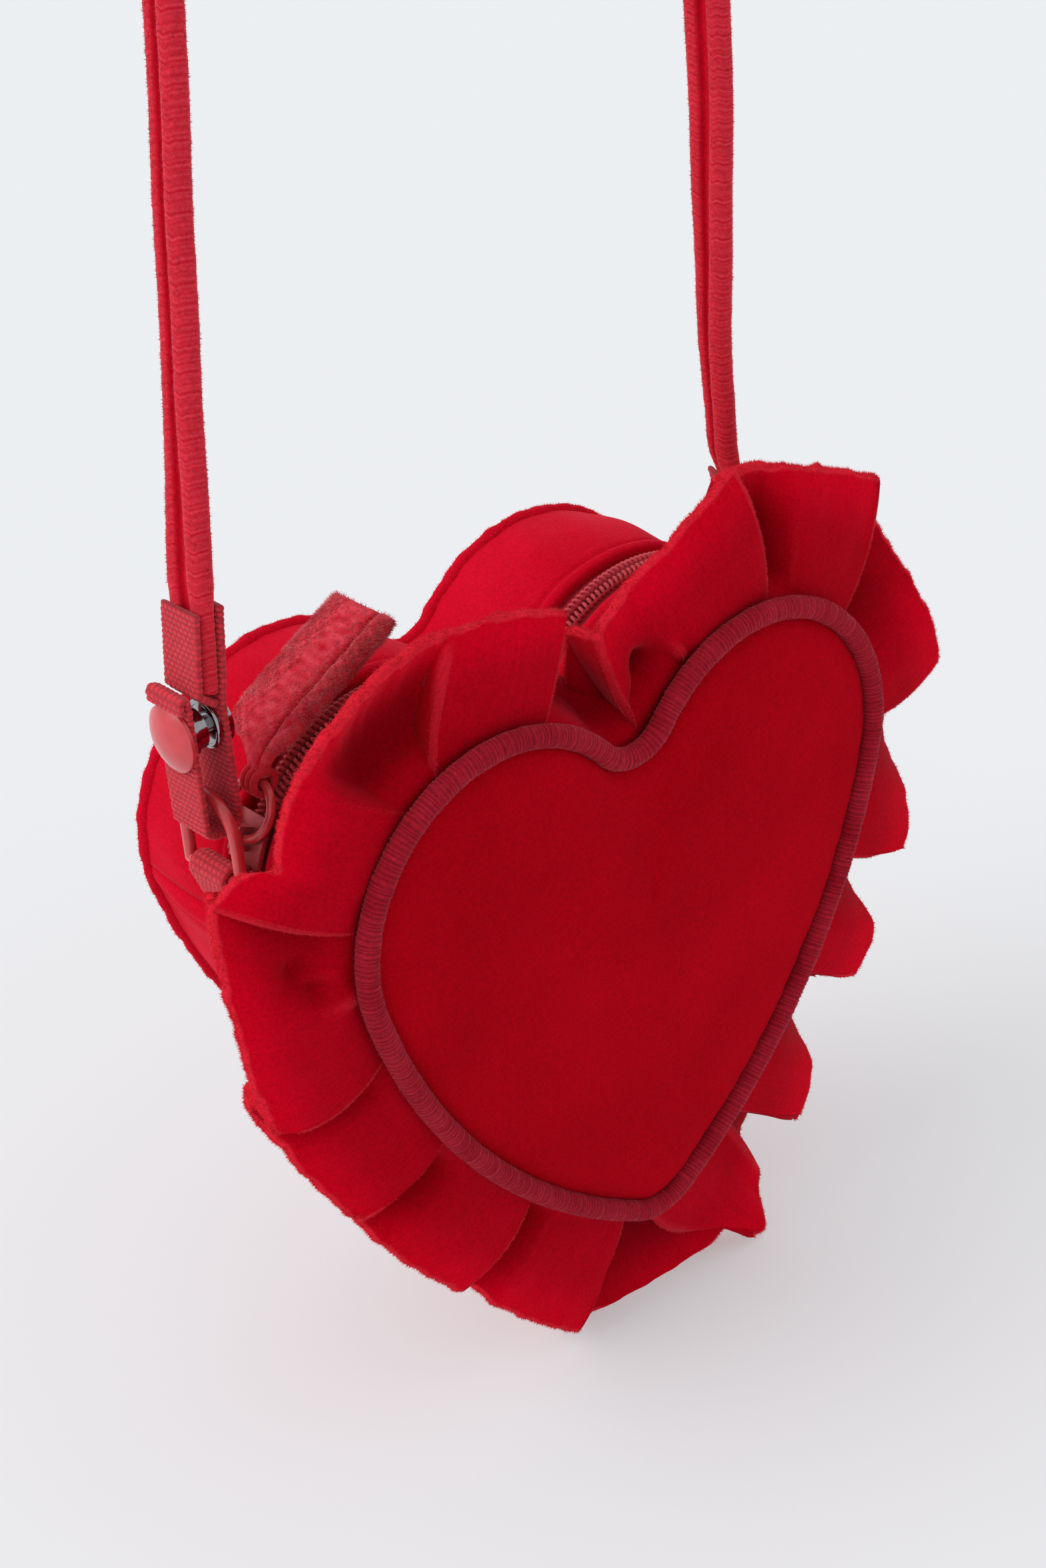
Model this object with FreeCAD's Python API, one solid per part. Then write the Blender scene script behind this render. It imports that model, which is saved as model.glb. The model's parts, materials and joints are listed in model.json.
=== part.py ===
import FreeCAD, Part
import math
import os

# Heart shaped velvet purse with a pleated ruffle, a coil zip over its two lobes and a snap-on strap.
# Millimetres, +Z up, front towards -Y. While it is built, x = 0 is the middle of the heart, y = 0 the line of
# the zip and z = 0 the height of the lobes' centres. Each solid is then moved so that the origin is the point
# under the strap's crown where the purse hangs.

Vec = FreeCAD.Vector
X_AXIS = Vec(1, 0, 0)
Y_AXIS = Vec(0, 1, 0)
Z_AXIS = Vec(0, 0, 1)
LEFT = -1
RIGHT = 1

# Heart outline, at the outer edge of the piping
lobe_radius = 35.0
lobe_x = 32.1
cleft_radius = 6.6695
side_radius = 130.0
tip_radius = 15.0
tip_drop = 89.5

# Depth of the body, from the middle of the piping to the back face
body_depth = 67.3
zip_to_back = 34.3

# Cloth thicknesses and sewn gaps
velvet = 1.8
lining = 0.5
tape = 0.6
sewn_gap = 0.05
cut_overrun = 20.0

# Piping
piping_diameter = 5.2
piping_core_diameter = 3.4

# Front panel, which crowns over its padding
crown_height = 3.2
crown_span = 62.0
crown_z = -22.0
panel_rim_proud = 0.6
padding_rim = 2.4
back_padding_thickness = 8.0
back_edge_round = 1.2

# Gusset: how far its outside lies inside the outer edge of the piping, and the seam between its strips
gusset_inset = 2.0
gusset_seam_z = -2.7

# Zip
zip_half_gap = 0.4
coil_half_width = 1.8
coil_height = 2.1
tape_width = 11.5
strip_edge = 4.7
strip_ridge_width = 2.0
strip_ridge_height = 0.5
lining_slot = 6.0
stop_length = 3.0
stop_half_width = 2.6
stop_proud = 0.4

# Zip slider, ring and pull tab on the left lobe
slider_angle = 153.4
slider_length = 9.0
slider_half_width = 4.2
slider_plate = 1.0
slider_clearance = 0.35
slider_web_half = 0.25
slider_web_length = 2.4
bridge_half_width = 1.0
bridge_bar = 0.9
bridge_eye_length = 2.8
bridge_eye_height = 2.3
pull_ring_radius = 5.4
pull_ring_wire = 1.7
pull_ring_angle = 62.0
tab_loop_bore = 1.6
tab_cloth = 1.4
tab_neck_width = 4.4
tab_width = 12.0
tab_thickness = 4.0
tab_neck_length = 7.6
tab_neck_angle = 80.0
tab_length = 31.0
tab_angle = 28.0

# Ruffle
ruffle_width = 25.0
ruffle_cloth = 2.5
ruffle_root_inset = 4.6
ruffle_root_reach = 0.5
ruffle_lean = 2.0
pleat_depth = 14.0
pleat_steps = 4

# D-rings and their webbing tabs
webbing_width = 10.0
webbing = 1.6
ring_wire = 2.3
ring_bow_radius = 7.5
ring_leg = 8.5
ring_bow_z = 20.5
ring_left_out = 3.3
ring_right_in = 2.53
ring_left_tilt = 0.0
ring_right_tilt = 17.0
ring_bore_clearance = 0.08
tab_root_in = 0.9

# Strap ends: a fold of webbing under each ring's bow and the sandwich that holds the strap. The left end's
# outer layer is a flap that snaps to its leg. The right end is sewn shut above the ring.
snap_fold_z = 23.5
snap_gap = 5.4
flap_length = 26.5
flap_hem_length = 2.2
flap_hem = 1.2
snap_sandwich_rise = 23.5
snap_sandwich_length = 16.5
loop_fold_z = 24.1
loop_shift = 1.77
loop_gap = 5.0
loop_sandwich_rise = 8.0
loop_sandwich_length = 9.0
sandwich_gap = 4.6
sandwich_bridge = 1.4

# Snap
snap_rise = 17.4
cap_diameter = 12.5
cap_rim = 0.7
cap_dome = 2.0
snap_flange_diameter = 9.0
snap_flange = 0.8
stud_diameter = 4.0
stud_height = 2.8
socket_diameter = 7.6
socket_bore = 5.6
socket_height = 2.2
shank_diameter = 2.9
shank_bore = 3.0

# Strap: its runs lean in as they climb, and lie outside or inside the middle of their folds
strap_left_lean = 6.3
strap_left_out = 1.3
strap_right_lean = 2.2
strap_right_in = 0.5
strap_roll_diameter = 4.4
strap_roll_pitch = 5.1
strap_web = 1.6
filler_diameter = 2.8
strap_end_play = 0.2
arch_centre_z = 166.0

# Pleats of the ruffle, from the cleft round the left lobe, the tip and the right lobe: share of the heart's
# outline, reach as a share of the ruffle's width, and setback as a share of the pleat depth
pleat_shares = [
    (0.000, 0.20, 0.80), (0.020, 0.22, 0.80), (0.050, 0.69, 0.00), (0.075, 0.70, 0.10), (0.114, 0.85, 0.30),
    (0.145, 0.84, 0.20), (0.160, 0.80, 0.15), (0.174, 0.66, 0.10), (0.186, 0.96, 0.40), (0.194, 0.99, 0.30),
    (0.223, 0.84, 0.15), (0.259, 0.84, 0.00), (0.266, 0.78, 0.65), (0.323, 0.74, 0.00), (0.334, 0.72, 0.60),
    (0.405, 0.77, 0.00), (0.420, 0.86, 0.60), (0.481, 1.00, 0.00), (0.490, 0.96, 0.35), (0.530, 1.12, 0.00),
    (0.545, 1.10, 0.30), (0.562, 0.90, 0.80), (0.577, 1.15, 0.00), (0.596, 1.05, 0.15), (0.614, 0.98, 0.90),
    (0.643, 0.92, 0.00), (0.661, 1.03, 0.15), (0.679, 0.90, 0.90), (0.699, 0.94, 0.00), (0.712, 0.99, 0.15),
    (0.744, 0.90, 0.90), (0.768, 0.80, 0.10), (0.779, 0.94, 0.10), (0.815, 0.92, 0.50), (0.836, 0.90, 0.70),
    (0.850, 0.99, 0.00), (0.906, 0.98, 0.15), (0.914, 0.90, 0.35), (0.925, 0.92, 0.20), (0.955, 0.75, 0.20),
    (0.975, 0.40, 0.40), (0.988, 0.22, 0.75),
]

# Places of the rings and tabs, from the widest part of the heart
half_width = lobe_x + lobe_radius
ring_left_x = half_width + ring_left_out
ring_right_x = half_width - ring_right_in
tab_root_x = half_width - tab_root_in

# Levels through the depth, from the front to the back
piping_y = zip_to_back - body_depth
ruffle_front_y = piping_y + piping_diameter / 2 + sewn_gap
gusset_front_y = ruffle_front_y + ruffle_cloth + sewn_gap
panel_rim_y = piping_y - panel_rim_proud
crown_y = panel_rim_y - crown_height
crown_radius = (crown_span ** 2 + crown_height ** 2) / (2 * crown_height)
padding_back_y = panel_rim_y + velvet + padding_rim
front_lining_y = padding_back_y + lining
back_panel_y = zip_to_back - velvet
back_padding_y = back_panel_y - back_padding_thickness
back_lining_y = back_padding_y - lining
gusset_back_y = back_panel_y - sewn_gap

# Levels through the gusset, as insets from the outer edge of the piping
gusset_inside = gusset_inset + velvet
tape_outside = gusset_inside + sewn_gap
tape_inside = tape_outside + tape
lining_outside = tape_inside + sewn_gap
lining_inside = lining_outside + lining
coil_outside = tape_outside - coil_height
stack_inset = piping_diameter + sewn_gap
tab_seat_inset = coil_outside - stop_proud - sewn_gap

# Centres and tangent angles of the left half of the heart
cleft_centre = (0.0, math.sqrt((lobe_radius + cleft_radius) ** 2 - lobe_x ** 2))
lobe_centre = (-lobe_x, 0.0)
tip_centre = (0.0, tip_radius - tip_drop)


def side_circle_centre():
    """Centre of the arc that runs from the left lobe to the tip and touches both."""
    dx = tip_centre[0] - lobe_centre[0]
    dz = tip_centre[1] - lobe_centre[1]
    span = math.hypot(dx, dz)
    from_lobe = side_radius - lobe_radius
    from_tip = side_radius - tip_radius
    along = (from_lobe ** 2 - from_tip ** 2 + span ** 2) / (2 * span)
    across = math.sqrt(from_lobe ** 2 - along ** 2)
    x = lobe_centre[0] + (along * dx - across * dz) / span
    z = lobe_centre[1] + (along * dz + across * dx) / span
    return (x, z)


def bearing(start, end):
    """Angle of the direction from one point to another in the X-Z plane, from 0 to a full turn."""
    return math.atan2(end[1] - start[1], end[0] - start[0]) % (2 * math.pi)


side_centre = side_circle_centre()
lobe_start = bearing(lobe_centre, cleft_centre)
lobe_end = bearing(side_centre, lobe_centre)
side_end = bearing(side_centre, tip_centre)

# Arcs of the left half, from the cleft to the tip: centre, radius, start, end, and 1 where the arc bulges out
left_arcs = [
    (cleft_centre, cleft_radius, -math.pi / 2, lobe_start - math.pi, -1),
    (lobe_centre, lobe_radius, lobe_start, lobe_end, 1),
    (side_centre, side_radius, lobe_end, side_end, 1),
    (tip_centre, tip_radius, side_end, 3 * math.pi / 2, 1),
]


def on_circle(centre, radius, angle, y, side=LEFT):
    """Point of a circle of the left half, or of its mirror image on the right."""
    x = centre[0] + radius * math.cos(angle)
    z = centre[1] + radius * math.sin(angle)
    return Vec(-side * x, y, z)


def heart_wire(inset, y):
    """Heart outline drawn in from the piping's outer edge by an inset, in a plane across the depth."""
    halves = []
    for side in (LEFT, RIGHT):
        edges = []
        for centre, radius, start, end, bulge in left_arcs:
            size = radius - bulge * inset
            points = [on_circle(centre, size, angle, y, side) for angle in (start, (start + end) / 2, end)]
            edges.append(Part.Arc(*points).toShape())
        halves.append(edges)
    return Part.Wire(halves[0] + halves[1][::-1])


def heart_point(share):
    """Point and outward direction at a share of the outline, counted from the cleft down the left side."""
    side = LEFT if share <= 0.5 else RIGHT
    half_share = share if side == LEFT else 1 - share
    lengths = [abs(end - start) * radius for _, radius, start, end, _ in left_arcs]
    way = 2 * half_share * sum(lengths)
    passed = 0.0
    for (centre, radius, start, end, bulge), length in zip(left_arcs, lengths):
        arc_share = (way - passed) / length
        if arc_share <= 1:
            break
        passed += length
    angle = start + (end - start) * arc_share
    outward = Vec(-side * bulge * math.cos(angle), 0, bulge * math.sin(angle))
    return on_circle(centre, radius, angle, 0, side), outward


def heart_prism(inset, y0, y1):
    return Part.Face(heart_wire(inset, y0)).extrude(Y_AXIS * (y1 - y0))


def heart_band(outside, inside, y0, y1):
    """Wall between two insets of the heart."""
    return heart_prism(outside, y0, y1).cut(heart_prism(inside, y0, y1))


def block(x0, x1, y0, y1, z0, z1):
    return Part.makeBox(x1 - x0, y1 - y0, z1 - z0, Vec(x0, y0, z0))


def above(z):
    """Everything over a level, wider than the whole purse."""
    wide = lobe_x + lobe_radius + ruffle_width + cut_overrun
    return block(-wide, wide, -wide, wide, z, z + wide)


def below(z):
    wide = tip_drop + ruffle_width + cut_overrun
    return block(-wide, wide, -wide, wide, z - wide, z)


def cylinder_x(radius, x0, x1, z=0.0):
    """Round bar along X."""
    return Part.makeCylinder(radius, x1 - x0, Vec(x0, 0, z), X_AXIS)


def one(shape):
    """The only solid of a result, with faces that lie on one surface joined."""
    return shape.removeSplitter().Solids[0]


def swept(wire, path):
    return path.makePipeShell([wire], True, False)


def circle_wire(radius, centre, normal):
    return Part.Wire(Part.makeCircle(radius, centre, normal))


# Front and back

def heart_sweep(diameter):
    path = heart_wire(piping_diameter / 2, piping_y)
    top = path.Edges[0].Vertexes[0].Point
    return Part.Solid(swept(circle_wire(diameter / 2, top, X_AXIS), path))


def piping_core():
    return heart_sweep(piping_core_diameter)


def piping_cover():
    return heart_sweep(piping_diameter).cut(heart_sweep(piping_core_diameter + 2 * sewn_gap))


def crown_ball(depth):
    """Ball whose front is the crowned face, this far behind the panel's outside."""
    return Part.makeSphere(crown_radius - depth, Vec(0, crown_y + crown_radius, crown_z))


def front_panel():
    stack = heart_prism(stack_inset, crown_y - cut_overrun, padding_back_y)
    return stack.common(crown_ball(0)).cut(crown_ball(velvet))


def front_padding():
    stack = heart_prism(stack_inset, crown_y - cut_overrun, padding_back_y)
    return stack.common(crown_ball(velvet + sewn_gap))


def front_lining():
    return heart_prism(stack_inset, padding_back_y, front_lining_y)


def back_panel():
    panel = heart_prism(gusset_inset, back_panel_y, zip_to_back)
    rim = [edge for edge in panel.Edges if edge.BoundBox.YMin > zip_to_back - sewn_gap]
    return panel.makeFillet(back_edge_round, rim)


def back_padding():
    return heart_prism(lining_inside + sewn_gap, back_padding_y, back_panel_y)


def back_lining():
    return heart_prism(lining_inside + sewn_gap, back_lining_y, back_padding_y)


# Gusset and zip

def gusset_lower():
    band = heart_band(gusset_inset, gusset_inside, gusset_front_y, gusset_back_y)
    return band.common(below(gusset_seam_z))


def gusset_lining():
    band = heart_band(lining_outside, lining_inside, gusset_front_y, back_lining_y)
    slot = above(gusset_seam_z).common(heart_prism(0, -lining_slot, lining_slot))
    return band.cut(slot)


def zip_strip(side):
    """Velvet strip beside the zip, in front of it or behind it, with a stitched ridge along its edge."""
    outer_y = gusset_front_y if side == LEFT else gusset_back_y
    near, far = sorted((side * strip_edge, outer_y))
    ridge_near, ridge_far = sorted((side * strip_edge, side * (strip_edge + strip_ridge_width)))
    strip = heart_band(gusset_inset, gusset_inside, near, far)
    ridge = heart_band(gusset_inset - strip_ridge_height, gusset_inside, ridge_near, ridge_far)
    return strip.fuse(ridge).common(above(gusset_seam_z))


def zip_tape(side):
    near, far = sorted((side * zip_half_gap, side * tape_width))
    return heart_band(tape_outside, tape_inside, near, far).common(above(gusset_seam_z))


def zip_coil(side):
    near, far = sorted((side * zip_half_gap, side * (zip_half_gap + coil_half_width)))
    rail = heart_band(coil_outside, tape_outside, near, far)
    return rail.common(above(gusset_seam_z + stop_length + sewn_gap))


def zip_end_stops():
    """Clamp across the two coils at each end of the zip."""
    band = heart_band(coil_outside - stop_proud, tape_outside, -stop_half_width, stop_half_width)
    return band.common(above(gusset_seam_z)).common(below(gusset_seam_z + stop_length))


def arc_plate(inner, outer, half_width, length):
    """Plate of a slider that follows the left lobe, lying over the lobe's top."""
    half_angle = math.degrees(length / 2 / inner)
    corners = [Vec(0, -half_width, inner), Vec(0, half_width, inner)]
    corners += [Vec(0, half_width, outer), Vec(0, -half_width, outer)]
    face = Part.Face(Part.makePolygon(corners + corners[:1]))
    face.rotate(Vec(0, 0, 0), Y_AXIS, -half_angle)
    return face.revolve(Vec(0, 0, 0), Y_AXIS, 2 * half_angle)


slider_top_inside = lobe_radius - coil_outside + slider_clearance
slider_top_outside = slider_top_inside + slider_plate
slider_low_outside = lobe_radius - tape_inside - slider_clearance
bridge_eye_z = slider_top_outside + bridge_eye_height / 2


def on_left_lobe(shape):
    """Turn a piece made over the lobe's top to the slider's place, and move it to the lobe."""
    shape.rotate(Vec(0, 0, 0), Y_AXIS, 90 - slider_angle)
    shape.translate(Vec(lobe_centre[0], 0, lobe_centre[1]))
    return shape


def zip_slider():
    top = arc_plate(slider_top_inside, slider_top_outside, slider_half_width, slider_length)
    low = arc_plate(slider_low_outside - slider_plate, slider_low_outside, slider_half_width, slider_length)
    web = arc_plate(slider_low_outside - slider_plate, slider_top_outside, slider_web_half, slider_web_length)
    half_bridge = bridge_eye_length / 2 + bridge_bar
    bridge_top = slider_top_outside + bridge_eye_height + bridge_bar
    bridge = block(-half_bridge, half_bridge, -bridge_half_width, bridge_half_width,
                   slider_top_inside, bridge_top)
    eye = block(-bridge_eye_length / 2, bridge_eye_length / 2, -slider_half_width, slider_half_width,
                slider_top_outside, slider_top_outside + bridge_eye_height)
    return on_left_lobe(one(top.fuse([low, web, bridge.cut(eye)])))


def polar(angle, length):
    """Step in the X-Z plane at an angle from +X, in degrees."""
    return Vec(length * math.cos(math.radians(angle)), 0, length * math.sin(math.radians(angle)))


ring_eye = Vec(lobe_centre[0], 0, lobe_centre[1]) + polar(slider_angle, bridge_eye_z)
tab_eye = ring_eye + polar(pull_ring_angle, 2 * pull_ring_radius)


def pull_ring():
    normal = polar(pull_ring_angle + 90, 1)
    centre = ring_eye + polar(pull_ring_angle, pull_ring_radius)
    return Part.makeTorus(pull_ring_radius, pull_ring_wire / 2, centre, normal)


def tab_section(place, angle, width, thickness):
    """Upright cross section of the pull tab, square to the way it runs."""
    across = polar(angle + 90, thickness / 2)
    half = Y_AXIS * (width / 2)
    corners = [place - across - half, place - across + half, place + across + half, place + across - half]
    return Part.makePolygon(corners + corners[:1])


def pull_tab():
    """Folded velvet tab: a loop round the ring, a neck that widens, and the body lying over the zip."""
    loop_radius = tab_loop_bore + tab_cloth
    half_neck = Y_AXIS * (tab_neck_width / 2)
    loop = Part.makeCylinder(loop_radius, tab_neck_width, tab_eye - half_neck, Y_AXIS)
    bend = tab_eye + polar(tab_neck_angle, tab_neck_length)
    end = bend + polar(tab_angle, tab_length)
    turn = (tab_neck_angle + tab_angle) / 2
    root = tab_section(tab_eye, tab_neck_angle, tab_neck_width, 2 * tab_cloth)
    middle = tab_section(bend, turn, tab_width, tab_thickness)
    tip = tab_section(end, tab_angle, tab_width, tab_thickness)
    neck = Part.makeLoft([root, middle], True, True)
    body = Part.makeLoft([middle, tip], True, True)
    bore = Part.makeCylinder(tab_loop_bore, tab_width, tab_eye - Y_AXIS * (tab_width / 2), Y_AXIS)
    return one(loop.fuse([neck, body]).cut(bore))


# Ruffle

def pleat_rows():
    """Rows of the pleat table, with even steps from each row to the next."""
    rows = []
    following = pleat_shares[1:] + [(1.0, *pleat_shares[0][1:])]
    for row, after in zip(pleat_shares, following):
        for step in range(pleat_steps):
            way_share = step / pleat_steps
            rows.append([start + (end - start) * way_share for start, end in zip(row, after)])
    return rows


def ruffle():
    """Pleated ring of doubled velvet: a flat root behind the piping and pleats that reach out past it."""
    rows = []
    for share, reach_share, back_share in pleat_rows():
        place, outward = heart_point(share)
        setback = ruffle_lean + back_share * pleat_depth
        stops = [(-ruffle_root_inset, 0.0), (ruffle_root_reach, 0.0), (reach_share * ruffle_width, setback)]
        front = [place + outward * reach + Y_AXIS * (ruffle_front_y + back) for reach, back in stops]
        rows.append(front + [point + Y_AXIS * ruffle_cloth for point in reversed(front)])
    faces = []
    for row, following in zip(rows, rows[1:] + rows[:1]):
        for i in range(len(row)):
            j = (i + 1) % len(row)
            faces.append(triangle(row[i], row[j], following[j]))
            faces.append(triangle(row[i], following[j], following[i]))
    ring = Part.Solid(Part.Shell(faces))
    return ring if ring.Volume > 0 else ring.reversed()


def triangle(a, b, c):
    return Part.Face(Part.makePolygon([a, b, c, a]))


# D-rings and tabs

def ring_place(side):
    """Middle of a ring's bow, and how far the ring leans in from upright."""
    if side == LEFT:
        return Vec(-ring_left_x, 0, ring_bow_z), ring_left_tilt
    return Vec(ring_right_x, 0, ring_bow_z), ring_right_tilt


def bar_place(side):
    """Middle of a ring's straight bar."""
    bow, tilt = ring_place(side)
    return bow - polar(90 + side * tilt, ring_leg)


def d_ring(side):
    """Round wire: a half round bow over two legs and a straight bar."""
    bow, tilt = ring_place(side)
    bow_points = [Vec(0, -ring_bow_radius, 0), Vec(0, 0, ring_bow_radius), Vec(0, ring_bow_radius, 0)]
    top = Part.Arc(*bow_points).toShape()
    corners = [Vec(0, ring_bow_radius, 0), Vec(0, ring_bow_radius, -ring_leg)]
    corners += [Vec(0, -ring_bow_radius, -ring_leg), Vec(0, -ring_bow_radius, 0)]
    solids = [Part.Solid(swept(circle_wire(ring_wire / 2, corners[3], Z_AXIS), Part.Wire([top])))]
    for start, end in zip(corners, corners[1:]):
        run = end - start
        solids.append(Part.makeCylinder(ring_wire / 2, run.Length, start, run))
    solids += [Part.makeSphere(ring_wire / 2, corner) for corner in corners[1:3]]
    ring = one(solids[0].fuse(solids[1:]))
    ring.rotate(Vec(0, 0, 0), Y_AXIS, -side * tilt)
    ring.translate(bow)
    return ring


def ring_tab(side):
    """Webbing loop round a ring's bar, sewn into the gusset's seam."""
    bar = bar_place(side)
    root = Vec(side * tab_root_x, 0, gusset_seam_z)
    half = Y_AXIS * (webbing_width / 2)
    bore = ring_wire / 2 + ring_bore_clearance
    loop = Part.makeCylinder(bore + webbing, webbing_width, bar - half, Y_AXIS)
    way = root - bar
    reach = way.Length
    across = Vec(-way.z, 0, way.x) * (webbing / reach)
    corners = [bar - across - half, bar + across - half, root + across + way * (webbing / reach) - half,
               root - across + way * (webbing / reach) - half]
    strip = Part.Face(Part.makePolygon(corners + corners[:1])).extrude(half * 2)
    hole = Part.makeCylinder(bore, 2 * webbing_width, bar - half * 2, Y_AXIS)
    inside = heart_prism(tab_seat_inset, -webbing_width, webbing_width)
    return one(loop.fuse(strip).cut(hole).cut(inside))


# Strap ends, made upright on the right with +X outwards and the middle of the fold at the origin

def fold_place(side):
    """Middle of the fold round the ring."""
    if side == LEFT:
        return Vec(-ring_left_x, 0, snap_fold_z)
    return Vec(ring_right_x - loop_shift, 0, loop_fold_z)


def on_strap_end(shape, side):
    if side == LEFT:
        shape = shape.mirror(Vec(0, 0, 0), X_AXIS)
    shape.translate(fold_place(side))
    return shape


def webbing_block(x0, x1, z0, z1):
    return block(x0, x1, -webbing_width / 2, webbing_width / 2, z0, z1)


def webbing_fold(inside):
    """Half round of webbing under the ring's bow."""
    half = Y_AXIS * (webbing_width / 2)
    ring = Part.makeCylinder(inside + webbing, webbing_width, -half, Y_AXIS)
    return ring.cut(Part.makeCylinder(inside, webbing_width, -half, Y_AXIS)).common(below(0))


def sandwich(rise, length, lean, out):
    """Two layers of webbing and the turn below them that hold the strap's end, along the strap's line."""
    inside = sandwich_gap / 2
    outside = inside + webbing
    top = rise + length
    layers = [webbing_block(-outside, -inside, rise, top), webbing_block(inside, outside, rise, top)]
    turn = webbing_block(-outside, outside, rise, rise + sandwich_bridge)
    held = turn.fuse(layers)
    held.rotate(Vec(0, 0, 0), Y_AXIS, -lean)
    held.translate(X_AXIS * out)
    return held


layer_in = snap_gap / 2
layer_out = layer_in + webbing


def strap_end_left():
    """Webbing leg on the inside, its fold under the ring's bow, and the sandwich round the strap's end."""
    leg = webbing_block(-layer_out, -layer_in, 0, snap_sandwich_rise + sandwich_bridge / 2)
    leg = leg.cut(cylinder_x(shank_bore / 2, -layer_out, -layer_in, snap_rise))
    held = sandwich(snap_sandwich_rise, snap_sandwich_length, strap_left_lean, strap_left_out)
    return on_strap_end(one(leg.fuse([webbing_fold(layer_in), held])), LEFT)


def strap_end_right():
    """Webbing loop under the ring's bow, sewn shut on the strap's end above it."""
    inside = loop_gap / 2
    outside = inside + webbing
    top = loop_sandwich_rise + sandwich_bridge / 2
    leg = webbing_block(-outside, -inside, 0, top)
    outer = webbing_block(inside, outside, 0, top)
    held = sandwich(loop_sandwich_rise, loop_sandwich_length, strap_right_lean, -strap_right_in)
    return on_strap_end(one(leg.fuse([outer, webbing_fold(inside), held])), RIGHT)


def snap_flap():
    """Outer layer of the left end, which snaps to the leg; its free end is turned over."""
    flap = webbing_block(layer_in, layer_out, 0, flap_length)
    hem = webbing_block(layer_out, layer_out + flap_hem, flap_length - flap_hem_length, flap_length)
    hole = cylinder_x(shank_bore / 2, layer_in, layer_out, snap_rise)
    return on_strap_end(one(flap.fuse(hem).cut(hole)), LEFT)


def snap_cap():
    """Domed cap on the flap, with the shank that holds the socket."""
    rim = cylinder_x(cap_diameter / 2, layer_out, layer_out + cap_rim, snap_rise)
    ball_radius = ((cap_diameter / 2) ** 2 + cap_dome ** 2) / (2 * cap_dome)
    ball_x = layer_out + cap_rim + cap_dome - ball_radius
    ball = Part.makeSphere(ball_radius, Vec(ball_x, 0, snap_rise))
    dome_x = layer_out + cap_rim
    dome = ball.common(cylinder_x(cap_diameter / 2, dome_x, dome_x + cap_dome, snap_rise))
    shank = cylinder_x(shank_diameter / 2, layer_in, layer_out, snap_rise)
    return on_strap_end(one(rim.fuse([dome, shank])), LEFT)


def snap_socket():
    mouth_x = layer_in - snap_flange - socket_height
    plate = cylinder_x(snap_flange_diameter / 2, layer_in - snap_flange, layer_in, snap_rise)
    wall = cylinder_x(socket_diameter / 2, mouth_x, layer_in - snap_flange, snap_rise)
    bore = cylinder_x(socket_bore / 2, mouth_x, layer_in - snap_flange, snap_rise)
    return on_strap_end(one(plate.fuse(wall.cut(bore))), LEFT)


def snap_stud():
    plate = cylinder_x(snap_flange_diameter / 2, -layer_in, snap_flange - layer_in, snap_rise)
    head_x = snap_flange - layer_in
    head = cylinder_x(stud_diameter / 2, head_x, head_x + stud_height, snap_rise)
    return on_strap_end(one(plate.fuse(head)), LEFT)


def snap_post():
    """Rivet behind the leg that holds the stud."""
    plate = cylinder_x(snap_flange_diameter / 2, -layer_out - snap_flange, -layer_out, snap_rise)
    shank = cylinder_x(shank_diameter / 2, -layer_out, -layer_in, snap_rise)
    return on_strap_end(one(plate.fuse(shank)), LEFT)


# Strap: two straight runs and an arch that touches both

def strap_line(side):
    """A point on a run's middle line beside its fold, the way it climbs, and how far up the strap starts."""
    step = sandwich_bridge + strap_end_play
    if side == LEFT:
        place = fold_place(LEFT) - X_AXIS * strap_left_out
        return place, polar(90 - strap_left_lean, 1), snap_sandwich_rise + step
    place = fold_place(RIGHT) - X_AXIS * strap_right_in
    return place, polar(90 + strap_right_lean, 1), loop_sandwich_rise + step


def arch():
    """Centre and radius of the arch, as far from one run as from the other."""
    (left, left_way, _), (right, right_way, _) = strap_line(LEFT), strap_line(RIGHT)
    left_rise = arch_centre_z - left.z
    right_rise = arch_centre_z - right.z
    x = (right.x * right_way.z + right_rise * right_way.x + left.x * left_way.z + left_rise * left_way.x)
    x /= left_way.z + right_way.z
    radius = (x - left.x) * left_way.z - left_rise * left_way.x
    return Vec(x, 0, arch_centre_z), radius


arch_centre, arch_radius = arch()
hang_point = arch_centre + Z_AXIS * (arch_radius - strap_roll_diameter / 2)


def strap_path():
    ends = []
    for side in (LEFT, RIGHT):
        place, way, start_rise = strap_line(side)
        start = place + way * start_rise
        touch = place + way * way.dot(arch_centre - place)
        ends.append((start, touch))
    (left_start, left_touch), (right_start, right_touch) = ends
    crown = arch_centre + Z_AXIS * arch_radius
    arc = Part.Arc(left_touch, crown, right_touch).toShape()
    runs = [Part.makeLine(left_start, left_touch), arc, Part.makeLine(right_touch, right_start)]
    return Part.Wire(runs)


def strap_fillers():
    path = strap_path()
    start, way = path.Edges[0].Vertexes[0].Point, strap_line(LEFT)[1]
    shift = Y_AXIS * (strap_roll_pitch / 2)
    cords = [swept(circle_wire(filler_diameter / 2, start + shift * s, way), path) for s in (LEFT, RIGHT)]
    return Part.makeCompound([Part.Solid(cord) for cord in cords])


def strap():
    """Velvet rolled over two filler cords, with a flat web between the rolls."""
    path = strap_path()
    start, way = path.Edges[0].Vertexes[0].Point, strap_line(LEFT)[1]
    shift = Y_AXIS * (strap_roll_pitch / 2)
    rolls = [swept(circle_wire(strap_roll_diameter / 2, start + shift * s, way), path) for s in (LEFT, RIGHT)]
    out = Y_AXIS.cross(way) * (strap_web / 2)
    corners = [start - shift - out, start + shift - out, start + shift + out, start - shift + out]
    web = Part.Solid(swept(Part.makePolygon(corners + corners[:1]), path))
    cover = web.fuse([Part.Solid(roll) for roll in rolls])
    return one(cover.cut(strap_fillers()))


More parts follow.
